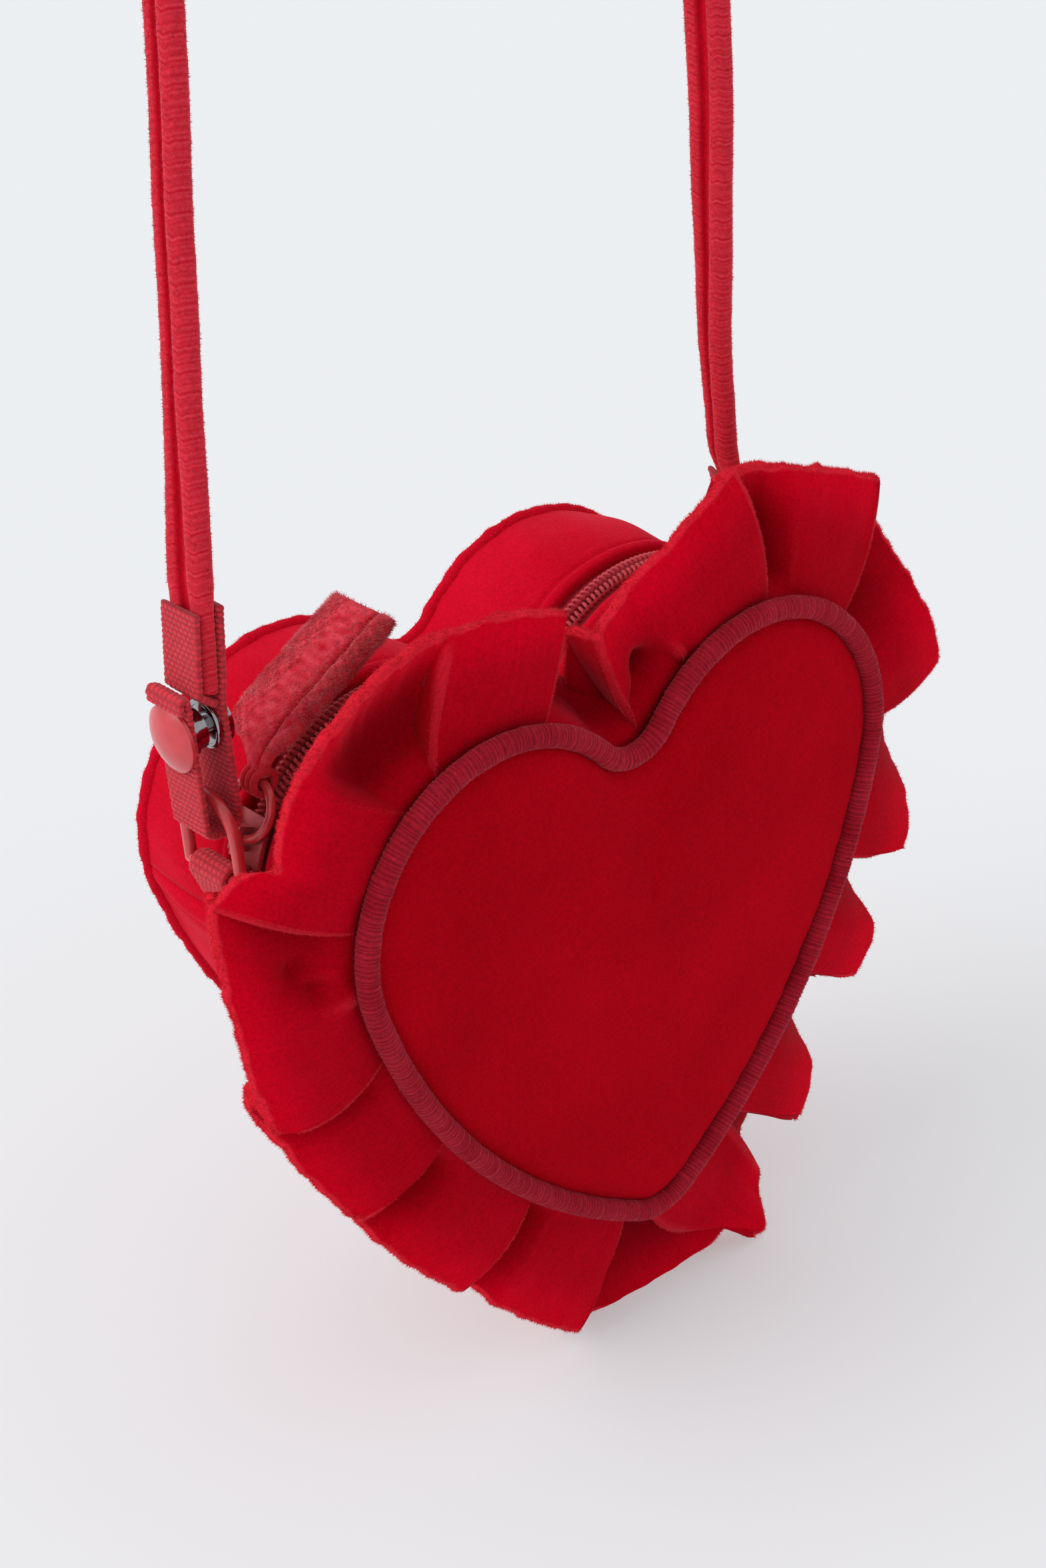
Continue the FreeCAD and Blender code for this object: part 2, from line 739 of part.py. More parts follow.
def build():
    return {
        "front_panel": front_panel(),
        "front_padding": front_padding(),
        "front_lining": front_lining(),
        "piping_cover": piping_cover(),
        "piping_core": piping_core(),
        "ruffle": ruffle(),
        "back_panel": back_panel(),
        "back_padding": back_padding(),
        "back_lining": back_lining(),
        "gusset_lower": gusset_lower(),
        "gusset_lining": gusset_lining(),
        "zip_strip_front": zip_strip(LEFT),
        "zip_strip_back": zip_strip(RIGHT),
        "zip_tape_front": zip_tape(LEFT),
        "zip_tape_back": zip_tape(RIGHT),
        "zip_coil_front": zip_coil(LEFT),
        "zip_coil_back": zip_coil(RIGHT),
        "zip_end_stops": zip_end_stops(),
        "zip_slider": zip_slider(),
        "pull_ring": pull_ring(),
        "pull_tab": pull_tab(),
        "ring_tab_left": ring_tab(LEFT),
        "ring_tab_right": ring_tab(RIGHT),
        "d_ring_left": d_ring(LEFT),
        "d_ring_right": d_ring(RIGHT),
        "strap": strap(),
        "strap_fillers": strap_fillers(),
        "strap_end_left": strap_end_left(),
        "strap_end_right": strap_end_right(),
        "snap_flap": snap_flap(),
        "snap_cap": snap_cap(),
        "snap_socket": snap_socket(),
        "snap_stud": snap_stud(),
        "snap_post": snap_post(),
    }


os.makedirs("parts", exist_ok=True)
for node, shape in build().items():
    shape.translate(-hang_point)
    shape.exportStep(os.path.join("parts", node + ".step"))
    box = shape.BoundBox
    print(node, "solids", len(shape.Solids), "valid", shape.isValid(), "volume", round(shape.Volume, 1),
          "x", round(box.XMin, 1), round(box.XMax, 1), "y", round(box.YMin, 1), round(box.YMax, 1),
          "z", round(box.ZMin, 1), round(box.ZMax, 1))
print("hang point", [round(value, 3) for value in hang_point], "arch radius", round(arch_radius, 3))
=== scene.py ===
import json
import math

import bpy
import numpy as np
from mathutils import Matrix, Vector


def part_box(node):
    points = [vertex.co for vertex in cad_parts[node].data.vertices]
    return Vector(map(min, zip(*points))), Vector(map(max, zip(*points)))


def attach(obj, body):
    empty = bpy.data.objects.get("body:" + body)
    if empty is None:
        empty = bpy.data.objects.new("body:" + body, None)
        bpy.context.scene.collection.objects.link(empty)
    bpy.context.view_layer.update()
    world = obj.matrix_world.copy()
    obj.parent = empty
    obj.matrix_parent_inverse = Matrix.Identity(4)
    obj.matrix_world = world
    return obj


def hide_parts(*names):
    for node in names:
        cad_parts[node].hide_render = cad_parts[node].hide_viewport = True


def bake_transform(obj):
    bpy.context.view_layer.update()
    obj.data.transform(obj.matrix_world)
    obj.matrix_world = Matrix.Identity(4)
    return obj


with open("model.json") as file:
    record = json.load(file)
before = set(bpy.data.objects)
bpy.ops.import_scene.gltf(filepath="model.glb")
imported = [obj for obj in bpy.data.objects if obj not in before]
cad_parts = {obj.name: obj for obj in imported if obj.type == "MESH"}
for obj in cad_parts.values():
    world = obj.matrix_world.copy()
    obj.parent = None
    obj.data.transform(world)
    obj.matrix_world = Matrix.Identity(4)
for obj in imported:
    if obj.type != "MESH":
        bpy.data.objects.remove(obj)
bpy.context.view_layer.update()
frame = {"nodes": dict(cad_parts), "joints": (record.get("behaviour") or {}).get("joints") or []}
rng = np.random.default_rng(7)

# Shapes are written in millimetres in the heart's own frame: x = 0 is its middle, y = 0 the line of the zip
# and z = 0 the height of the lobes' centres. The front is towards -Y.
MM = 0.001
LEFT = -1
RIGHT = 1
BACK_WAY = np.array([0.0, 1.0, 0.0])
UP_WAY = np.array([0.0, 0.0, 1.0])

# Heart outline, at the outer edge of the piping
LOBE_RADIUS = 35.0
LOBE_X = 32.1
CLEFT_RADIUS = 6.6695
SIDE_RADIUS = 130.0
TIP_RADIUS = 15.0
TIP_DROP = 89.5
SEAM_Z = -2.7

# Levels through the depth
PIPING_Y = -33.0
RUFFLE_Y = -29.1
GUSSET_FRONT_Y = -27.8
GUSSET_BACK_Y = 32.6
PANEL_RIM_Y = -32.2
BACK_Y = 34.3
GUSSET_OUT = -2.0
VELVET = 1.8
ZIP_EDGE = 4.7

joints = {joint["name"]: joint for joint in frame["joints"]}
zip_axis = joints["zip_travel"]["pos_m"]
heart_origin = np.array([zip_axis[0] / MM + LOBE_X, 0.0, zip_axis[2] / MM])


def to_row(points):
    """Points of the heart's frame in the row frame, in metres."""
    return (np.asarray(points, float) + heart_origin) * MM


def bearing(start, end):
    return math.atan2(end[1] - start[1], end[0] - start[0]) % (2 * math.pi)


def left_arcs():
    """Arcs of the left half from cleft to tip: centre, radius, start, end and 1 where it bulges out."""
    cleft = (0.0, math.sqrt((LOBE_RADIUS + CLEFT_RADIUS) ** 2 - LOBE_X ** 2))
    lobe = (-LOBE_X, 0.0)
    tip = (0.0, TIP_RADIUS - TIP_DROP)
    dx, dz = tip[0] - lobe[0], tip[1] - lobe[1]
    span = math.hypot(dx, dz)
    from_lobe, from_tip = SIDE_RADIUS - LOBE_RADIUS, SIDE_RADIUS - TIP_RADIUS
    along = (from_lobe ** 2 - from_tip ** 2 + span ** 2) / (2 * span)
    across = math.sqrt(from_lobe ** 2 - along ** 2)
    side = (lobe[0] + (along * dx - across * dz) / span, lobe[1] + (along * dz + across * dx) / span)
    lobe_start = bearing(lobe, cleft)
    lobe_end = bearing(side, lobe)
    side_end = bearing(side, tip)
    return [
        (cleft, CLEFT_RADIUS, -math.pi / 2, lobe_start - math.pi, -1),
        (lobe, LOBE_RADIUS, lobe_start, lobe_end, 1),
        (side, SIDE_RADIUS, lobe_end, side_end, 1),
        (tip, TIP_RADIUS, side_end, 3 * math.pi / 2, 1),
    ]


ARCS = left_arcs()
OUTLINE = 2 * sum(abs(end - start) * radius for _, radius, start, end, _ in ARCS)


def heart(shares, out=0.0):
    """Points (x, z) at shares of the outline from the cleft down the left, moved out, and ways outward."""
    shares = np.mod(np.asarray(shares, float), 1.0)
    side = np.where(shares <= 0.5, 1.0, -1.0)
    way = np.minimum(shares, 1 - shares) * OUTLINE
    x, z, nx, nz = (np.zeros(np.broadcast(way, out).shape) for _ in range(4))
    passed = 0.0
    for centre, radius, start, end, bulge in ARCS:
        length = abs(end - start) * radius
        angle = start + (end - start) * (way - passed) / length
        here = way >= passed
        reach = radius + bulge * np.asarray(out)
        x = np.where(here, centre[0] + reach * np.cos(angle), x)
        z = np.where(here, centre[1] + reach * np.sin(angle), z)
        nx = np.where(here, bulge * np.cos(angle), nx)
        nz = np.where(here, bulge * np.sin(angle), nz)
        passed += length
    return np.stack([side * x, z], -1), np.stack([side * nx, nz], -1)


def in_space(xz, y):
    """Points of the X-Z plane set at depths y."""
    return np.stack([xz[..., 0], np.broadcast_to(y, xz.shape[:-1]), xz[..., 1]], -1)


def seam_share():
    """Share of the outline where the gusset's strips meet on the left."""
    shares = np.linspace(0.1, 0.4, 3001)
    points, _ = heart(shares)
    return float(shares[np.argmax(points[:, 1] < SEAM_Z)])


SEAM_SHARE = seam_share()


def waves(at, lengths, seed):
    """Smooth irregular waves, from -1 to 1, of a mix of wave lengths."""
    phases = np.random.default_rng(seed).uniform(0, 2 * math.pi, len(lengths))
    total = sum(np.sin(2 * math.pi * at / length + phase) for length, phase in zip(lengths, phases))
    return total / len(lengths)


def bump(at, centre, width):
    return np.exp(-((at - centre) / width) ** 2)


def ridge(at, height, centre, width):
    return height * bump(at, centre, width)


def ramp(at, start, end):
    """Smooth rise from 0 at start to 1 at end."""
    share = np.clip((at - start) / (end - start), 0, 1)
    return share ** 2 * (3 - 2 * share)


def between(start, end, share):
    return start + (end - start) * share


def full_turn(count):
    """Even angles round a whole turn."""
    return np.linspace(0, 2 * math.pi, count, endpoint=False)


def unit(vectors):
    """Vectors along the last axis, brought to a length of 1."""
    return vectors / np.linalg.norm(vectors, axis=-1, keepdims=True)


def run_along(path):
    """How far along a path each of its points lies."""
    return np.append(0.0, np.cumsum(np.linalg.norm(np.diff(path, axis=0), axis=1)))


def closed_steps(points):
    """Steps from the point before to the one after, on a first axis that closes on itself."""
    return np.roll(points, -1, 0) - np.roll(points, 1, 0)


# Meshes

def grid_faces(rows, columns, wrap_rows=False, wrap_columns=False):
    """Quads of a grid of points, joined up where it wraps."""
    i = np.arange(rows if wrap_rows else rows - 1)[:, None]
    j = np.arange(columns if wrap_columns else columns - 1)[None, :]
    after_i, after_j = (i + 1) % rows, (j + 1) % columns
    corners = [i * columns + j, i * columns + after_j, after_i * columns + after_j, after_i * columns + j]
    return np.stack(np.broadcast_arrays(*corners), -1).reshape(-1, 4).tolist()


def piece(name, points, faces, look, body=None, slot=None, coords=None, shade=None, frost_and_sheen=None):
    """A mesh of heart-frame points in one material. The slot is not used.

    Coords are distances over the cloth; shade is painted light and shade that multiplies its colour, and
    frost a pale colour mixed in, partly for worn pile and partly as painted sheen.
    """
    mesh = bpy.data.meshes.new(name)
    mesh.from_pydata(to_row(np.reshape(points, (-1, 3))).tolist(), [], faces)
    mesh.polygons.foreach_set("use_smooth", [True] * len(mesh.polygons))
    if coords is not None:
        layer = mesh.uv_layers.new(name="cloth")
        loops = np.zeros(len(mesh.loops), np.int32)
        mesh.loops.foreach_get("vertex_index", loops)
        layer.data.foreach_set("uv", np.reshape(coords, (-1, 2))[loops].ravel())
    for label, values, plain in (("shade", shade, 1.0), ("frost_and_sheen", frost_and_sheen, 0.0)):
        layer = mesh.attributes.new(label, "FLOAT", "POINT")
        values = np.full(len(mesh.vertices), plain) if values is None else np.ravel(values)
        layer.data.foreach_set("value", values)
    mesh.materials.append(MATERIALS[look])
    made = bpy.data.objects.new(name, mesh)
    bpy.context.scene.collection.objects.link(made)
    slot = slot or look
    if body:
        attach(made, body)
    return made


def shell_mesh(outer, inner, closed=False):
    """Closed solid between two grids of points, and its faces. A closed one runs round without ends."""
    ring = np.concatenate([outer, inner[:, ::-1]], 1)
    rows, columns = ring.shape[:2]
    faces = grid_faces(rows, columns, closed, True)
    if not closed:
        half = columns // 2
        for row in (0, rows - 1):
            for j in range(half - 1):
                a, b = row * columns + j, row * columns + columns - 1 - j
                cap = [a, a + 1, b - 1, b]
                faces.append(cap if row else cap[::-1])
    return ring, faces


def end_caps(rows, columns):
    """Flat faces on both ends of a tube of points."""
    last = (rows - 1) * columns
    return [list(range(columns))[::-1], list(range(last, last + columns))]


NEARLY_PARALLEL = 0.05


def tube(path, radius, sides, closed=False):
    """Round tube along a path of points, and its faces, with flat ends."""
    path = np.asarray(path, float)
    along = unit(closed_steps(path) if closed else np.gradient(path, axis=0))
    side = np.cross(along, BACK_WAY)
    flat = np.linalg.norm(side, axis=1) < NEARLY_PARALLEL
    side[flat] = np.cross(along[flat], UP_WAY)
    side = unit(side)
    over = np.cross(along, side)
    turn = full_turn(sides)[None, :, None]
    around = side[:, None] * np.cos(turn) + over[:, None] * np.sin(turn)
    points = path[:, None] + around * np.reshape(radius, (-1, 1, 1))
    faces = grid_faces(len(path), sides, closed, True)
    return points.reshape(-1, 3), faces if closed else faces + end_caps(len(path), sides)


def merged(parts):
    """Several meshes as one list of points and one of faces."""
    points, faces, start = [], [], 0
    for part_points, part_faces in parts:
        points.append(np.reshape(part_points, (-1, 3)))
        faces += [[start + k for k in face] for face in part_faces]
        start += len(points[-1])
    return np.concatenate(points), faces


def spikes(roots, ways, lengths, width):
    """Short tufts of pile: a three-sided closed spike at each root."""
    ways = unit(ways)
    helper = np.where(np.abs(ways[:, 2:3]) < 0.8, [[0.0, 0.0, 1.0]], [[1.0, 0.0, 0.0]])
    side = unit(np.cross(ways, helper))
    over = np.cross(ways, side)
    turns = rng.uniform(0, 2 * math.pi, len(roots))
    points = np.zeros((len(roots), 4, 3))
    for k in range(3):
        turn = (turns + 2 * math.pi * k / 3)[:, None]
        points[:, k] = roots + width / 2 * (side * np.cos(turn) + over * np.sin(turn))
    points[:, 3] = roots + ways * np.reshape(lengths, (-1, 1))
    start = 4 * np.arange(len(roots))[:, None]
    faces = np.concatenate([start + corners for corners in ([0, 1, 3], [1, 2, 3], [2, 0, 3], [2, 1, 0])])
    return points.reshape(-1, 3), faces.tolist()


# Materials

def srgb(red, green, blue):
    """Colour for a shader from a red, green and blue of up to 255."""
    return tuple(
        value / 255 / 12.92 if value <= 10 else ((value / 255 + 0.055) / 1.055) ** 2.4
        for value in (red, green, blue)
    ) + (1.0,)


def grey(value):
    return (value, value, value, 1.0)


def dulled(colour, share):
    return tuple(share * value for value in colour[:3]) + (1.0,)


def set_inputs(node, values):
    for name, value in values.items():
        node.inputs[name].default_value = value


def new_material(name):
    material = bpy.data.materials.new(name)
    material.use_nodes = True
    tree = material.node_tree
    return material, tree, tree.nodes["Principled BSDF"]


def attribute(tree, name):
    """Outputs of a node that reads one of the meshes' attributes."""
    node = tree.nodes.new("ShaderNodeAttribute")
    node.attribute_name = name
    return node.outputs


def noise(tree, scale, detail, coords=None):
    """Noise over the object's own coordinates, or over others."""
    node = tree.nodes.new("ShaderNodeTexNoise")
    set_inputs(node, {"Scale": scale, "Detail": detail})
    coords = coords or tree.nodes.new("ShaderNodeTexCoord").outputs["Object"]
    tree.links.new(coords, node.inputs["Vector"])
    return node.outputs["Fac"]


def patches(tree, scale, detail, tones, coords=None):
    """Noise with a range of its tones, low and high, taken to 0 to 1."""
    node = tree.nodes.new("ShaderNodeMapRange")
    set_inputs(node, {"From Min": tones[0], "From Max": tones[1]})
    tree.links.new(noise(tree, scale, detail, coords), node.inputs["Value"])
    return node.outputs["Result"]


def mixed(tree, share, first, second, kind="MIX"):
    """Two colours mixed by a share; each is a colour or another node's output."""
    node = tree.nodes.new("ShaderNodeMix")
    node.data_type = "RGBA"
    node.blend_type = kind
    for place, value in (("Factor_Float", share), ("A_Color", first), ("B_Color", second)):
        socket = next(s for s in node.inputs if s.identifier == place)
        if hasattr(value, "links"):
            tree.links.new(value, socket)
        else:
            socket.default_value = value
    return next(s for s in node.outputs if s.identifier == "Result_Color")


def times(tree, first, second):
    return mixed(tree, 1.0, first, second, "MULTIPLY")


def bumped(tree, height, strength, distance, before=None):
    node = tree.nodes.new("ShaderNodeBump")
    set_inputs(node, {"Strength": strength, "Distance": distance})
    tree.links.new(height, node.inputs["Height"])
    if before:
        tree.links.new(before, node.inputs["Normal"])
    return node.outputs["Normal"]


def shaded(tree, colour):
    """A colour multiplied by the mesh's shade: painted shade in grooves and hollows, painted highlight where
    it is above 1.
    """
    return times(tree, colour, attribute(tree, "shade")["Color"])


# Patterns in the materials: scale and detail of a noise, and the ranges of its tones that are spread out
NAP_DETAIL = 3.0
NAP_TONES = (0.3, 0.7)
SPECKLE = (1700.0, 2.0)
SPECKLE_GREYS = (grey(0.84), grey(1.1))
CRUSH = (300.0, 3.0)
STREAK = (1.0, 2.0)
STREAK_SCALES = (1.9, 0.14, 1.0)
STREAK_TONES = (0.34, 0.62)
STREAK_GREYS = (grey(0.94), grey(1.02))
FLECK = (900.0, 3.0)
FLECK_DULL_SHARE = 0.78
YARN = (2200.0, 2.0)
WEAR = (420.0, 4.0)
WEAR_TONES = (0.35, 0.65)
WEAR_DULL_SHARE = 0.86


def streaks(tree):
    """Faint lines of the ground weave, which run across the strip of cloth."""
    coords = tree.nodes.new("ShaderNodeUVMap")
    coords.uv_map = "cloth"
    scaled = tree.nodes.new("ShaderNodeMapping")
    set_inputs(scaled, {"Scale": STREAK_SCALES})
    tree.links.new(coords.outputs["UV"], scaled.inputs["Vector"])
    line = patches(tree, *STREAK, STREAK_TONES, scaled.outputs["Vector"])
    return mixed(tree, line, *STREAK_GREYS)


def velvet(name, dark, light, sheen, sheen_tint, patch_scale=34.0, frost_and_sheen=None, streaked=False):
    """Short pile: patches where the nap lies differently, fine speckle, a soft sheen, pale frost for worn
    pile and painted sheen, and painted light and shade.
    """
    material, tree, shader = new_material(name)
    colour = mixed(tree, patches(tree, patch_scale, NAP_DETAIL, NAP_TONES), dark, light)
    if frost_and_sheen:
        colour = mixed(tree, attribute(tree, "frost_and_sheen")["Fac"], colour, frost_and_sheen)
    colour = times(tree, colour, mixed(tree, patches(tree, *SPECKLE, NAP_TONES), *SPECKLE_GREYS))
    if streaked:
        colour = times(tree, colour, streaks(tree))
    tree.links.new(shaded(tree, colour), shader.inputs["Base Color"])
    set_inputs(shader, {"Roughness": 0.9, "Specular IOR Level": 0.03, "Sheen Weight": sheen,
                        "Sheen Roughness": 0.35, "Sheen Tint": sheen_tint})
    fine = bumped(tree, noise(tree, *SPECKLE), 0.45, 0.00025)
    tree.links.new(bumped(tree, noise(tree, *CRUSH), 0.2, 0.0005, fine), shader.inputs["Normal"])
    return material


def cloth(name, colour, roughness, sheen=0.2):
    """Woven cloth in its yarns' colour, with a faint fleck and painted shade from the mesh's shade, darker
    in a weave's dips.
    """
    material, tree, shader = new_material(name)
    flecked = mixed(tree, patches(tree, *FLECK, NAP_TONES), dulled(colour, FLECK_DULL_SHARE), colour)
    tree.links.new(shaded(tree, flecked), shader.inputs["Base Color"])
    set_inputs(shader, {"Roughness": roughness, "Specular IOR Level": 0.3, "Sheen Weight": sheen,
                        "Sheen Tint": (1.0, 0.5, 0.55, 1.0)})
    tree.links.new(bumped(tree, noise(tree, *YARN), 0.4, 0.0002), shader.inputs["Normal"])
    return material


def hard(name, colour, roughness, metallic=0.0, coat=0.0):
    """Metal or paint with faint wear in its colour and gloss."""
    material, tree, shader = new_material(name)
    worn = mixed(tree, patches(tree, *WEAR, WEAR_TONES), dulled(colour, WEAR_DULL_SHARE), colour)
    tree.links.new(worn, shader.inputs["Base Color"])
    set_inputs(shader, {"Roughness": roughness, "Metallic": metallic, "Coat Weight": coat,
                        "Coat Roughness": 0.2})
    tree.links.new(bumped(tree, noise(tree, *FLECK), 0.08, 0.0002), shader.inputs["Normal"])
    return material


VELVET_TINT = (1.0, 0.06, 0.1, 1.0)
RUFFLE_TINT = (1.0, 0.14, 0.2, 1.0)
FROST_TINT = (1.0, 0.5, 0.54, 1.0)
# Pale colours of frost: on the strap and tab partly worn pile and partly painted sheen, on the ruffle
# painted sheen on its ridges and edge
FROST_AND_SHEEN_COLOUR = srgb(216, 74, 88)
RUFFLE_PAINTED_SHEEN = srgb(226, 60, 78)
# The panel, ruffle, body and strap velvets are lit and shaded copies of one cloth: the panel darkest, as
# painted shade for velvet seen face on; the body and strap lightest, as painted light
MATERIALS = {
    "velvet_panel": velvet("panel velvet", srgb(164, 0, 15), srgb(182, 0, 21), 0.08, VELVET_TINT),
    "velvet_ruffle": velvet("ruffle velvet", srgb(172, 0, 20), srgb(186, 0, 27), 0.3, RUFFLE_TINT,
                            frost_and_sheen=RUFFLE_PAINTED_SHEEN, streaked=True),
    "velvet_body": velvet("body velvet", srgb(200, 4, 32), srgb(218, 12, 44), 0.35, RUFFLE_TINT,
                          frost_and_sheen=FROST_AND_SHEEN_COLOUR),
    "velvet_strap": velvet("strap velvet", srgb(204, 4, 32), srgb(216, 12, 40), 0.5, FROST_TINT, 160.0,
                           FROST_AND_SHEEN_COLOUR),
    # Ruffle fuzz is lighter than the ruffle's cloth: painted highlight for pile catching the light at its
    # edges
    "ruffle_fuzz": velvet("ruffle fuzz", srgb(236, 22, 46), srgb(246, 58, 72), 0.3, RUFFLE_TINT, 300.0),
    "strap_fuzz": velvet("strap fuzz", srgb(186, 24, 44), srgb(214, 62, 78), 0.3, FROST_TINT, 260.0),
    "frost_fuzz": velvet("frosted fuzz", srgb(214, 58, 74), srgb(244, 122, 130), 0.4, FROST_TINT, 260.0),
    "piping": velvet("piping velvet", srgb(158, 20, 38), srgb(178, 34, 52), 0.3, FROST_TINT, 120.0),
    "webbing": cloth("webbing", srgb(218, 44, 60), 0.8, 0.3),
    "lining": cloth("lining", srgb(120, 12, 26), 0.8),
    "zip_tape": cloth("zip tape", srgb(178, 18, 38), 0.8),
    "zip_coil": cloth("zip coil", srgb(214, 66, 78), 0.4),
    "zip_metal": hard("zip metal", srgb(196, 92, 98), 0.32, 0.6),
    "red_enamel": hard("red enamel", srgb(210, 56, 64), 0.32, 0.0, 0.4),
    "snap_chrome": hard("snap chrome", srgb(168, 168, 172), 0.12, 1.0),
}

# Pile: how far tufts tilt, their lengths as shares of the stated one and how deep they are rooted
PILE_TILT = 0.45
PILE_LENGTH_SHARES = (0.5, 1.25)
PILE_ROOTED = 0.08
PILE_ROOTED_AT_FOLDS = 0.1


def pile(name, roots, ways, size, look, slot, body):
    """Tufts of pile of a size, length and width, at roots, each tilted at random from its way."""
    length, width = size
    tilt = rng.normal(0, PILE_TILT, (len(roots), 3))
    lengths = length * rng.uniform(*PILE_LENGTH_SHARES, len(roots))
    points, faces = spikes(roots, ways + tilt, lengths, width)
    return piece(name, points, faces, look, body, slot)


def grid_pile(name, grid, count, size, look, slot, body):
    """Tufts of pile all over a tube-like grid of points."""
    rows, columns = grid.shape[:2]
    middle = grid.mean(1, keepdims=True)
    around = np.roll(grid, -1, 1) - np.roll(grid, 1, 1)
    normal = np.cross(np.gradient(grid, axis=0), around)
    normal *= np.sign(np.sum(normal * (grid - middle), axis=2, keepdims=True))
    i = rng.integers(0, rows - 1, count)
    j = rng.integers(0, columns, count)
    u, v = rng.uniform(0, 1, (2, count, 1))
    after = (j + 1) % columns
    near = grid[i, j] * (1 - v) + grid[i, after] * v
    far = grid[i + 1, j] * (1 - v) + grid[i + 1, after] * v
    ways = normal[i, j] / np.linalg.norm(normal[i, j], axis=1, keepdims=True).clip(1e-9)
    pile(name, near * (1 - u) + far * u - PILE_ROOTED * ways, ways, size, look, slot, body)


# Ruffle

RUFFLE_WIDTH = 25.0
RUFFLE_DEPTH = 14.0
RUFFLE_LEAN = 2.0
RUFFLE_ROOT_IN = 3.4
RUFFLE_HALF_ROOT = 0.6
RUFFLE_HALF_EDGE = 1.2
RUFFLE_STATIONS = 1900
RUFFLE_ROWS = 32
RUFFLE_EDGE_STEPS = 5

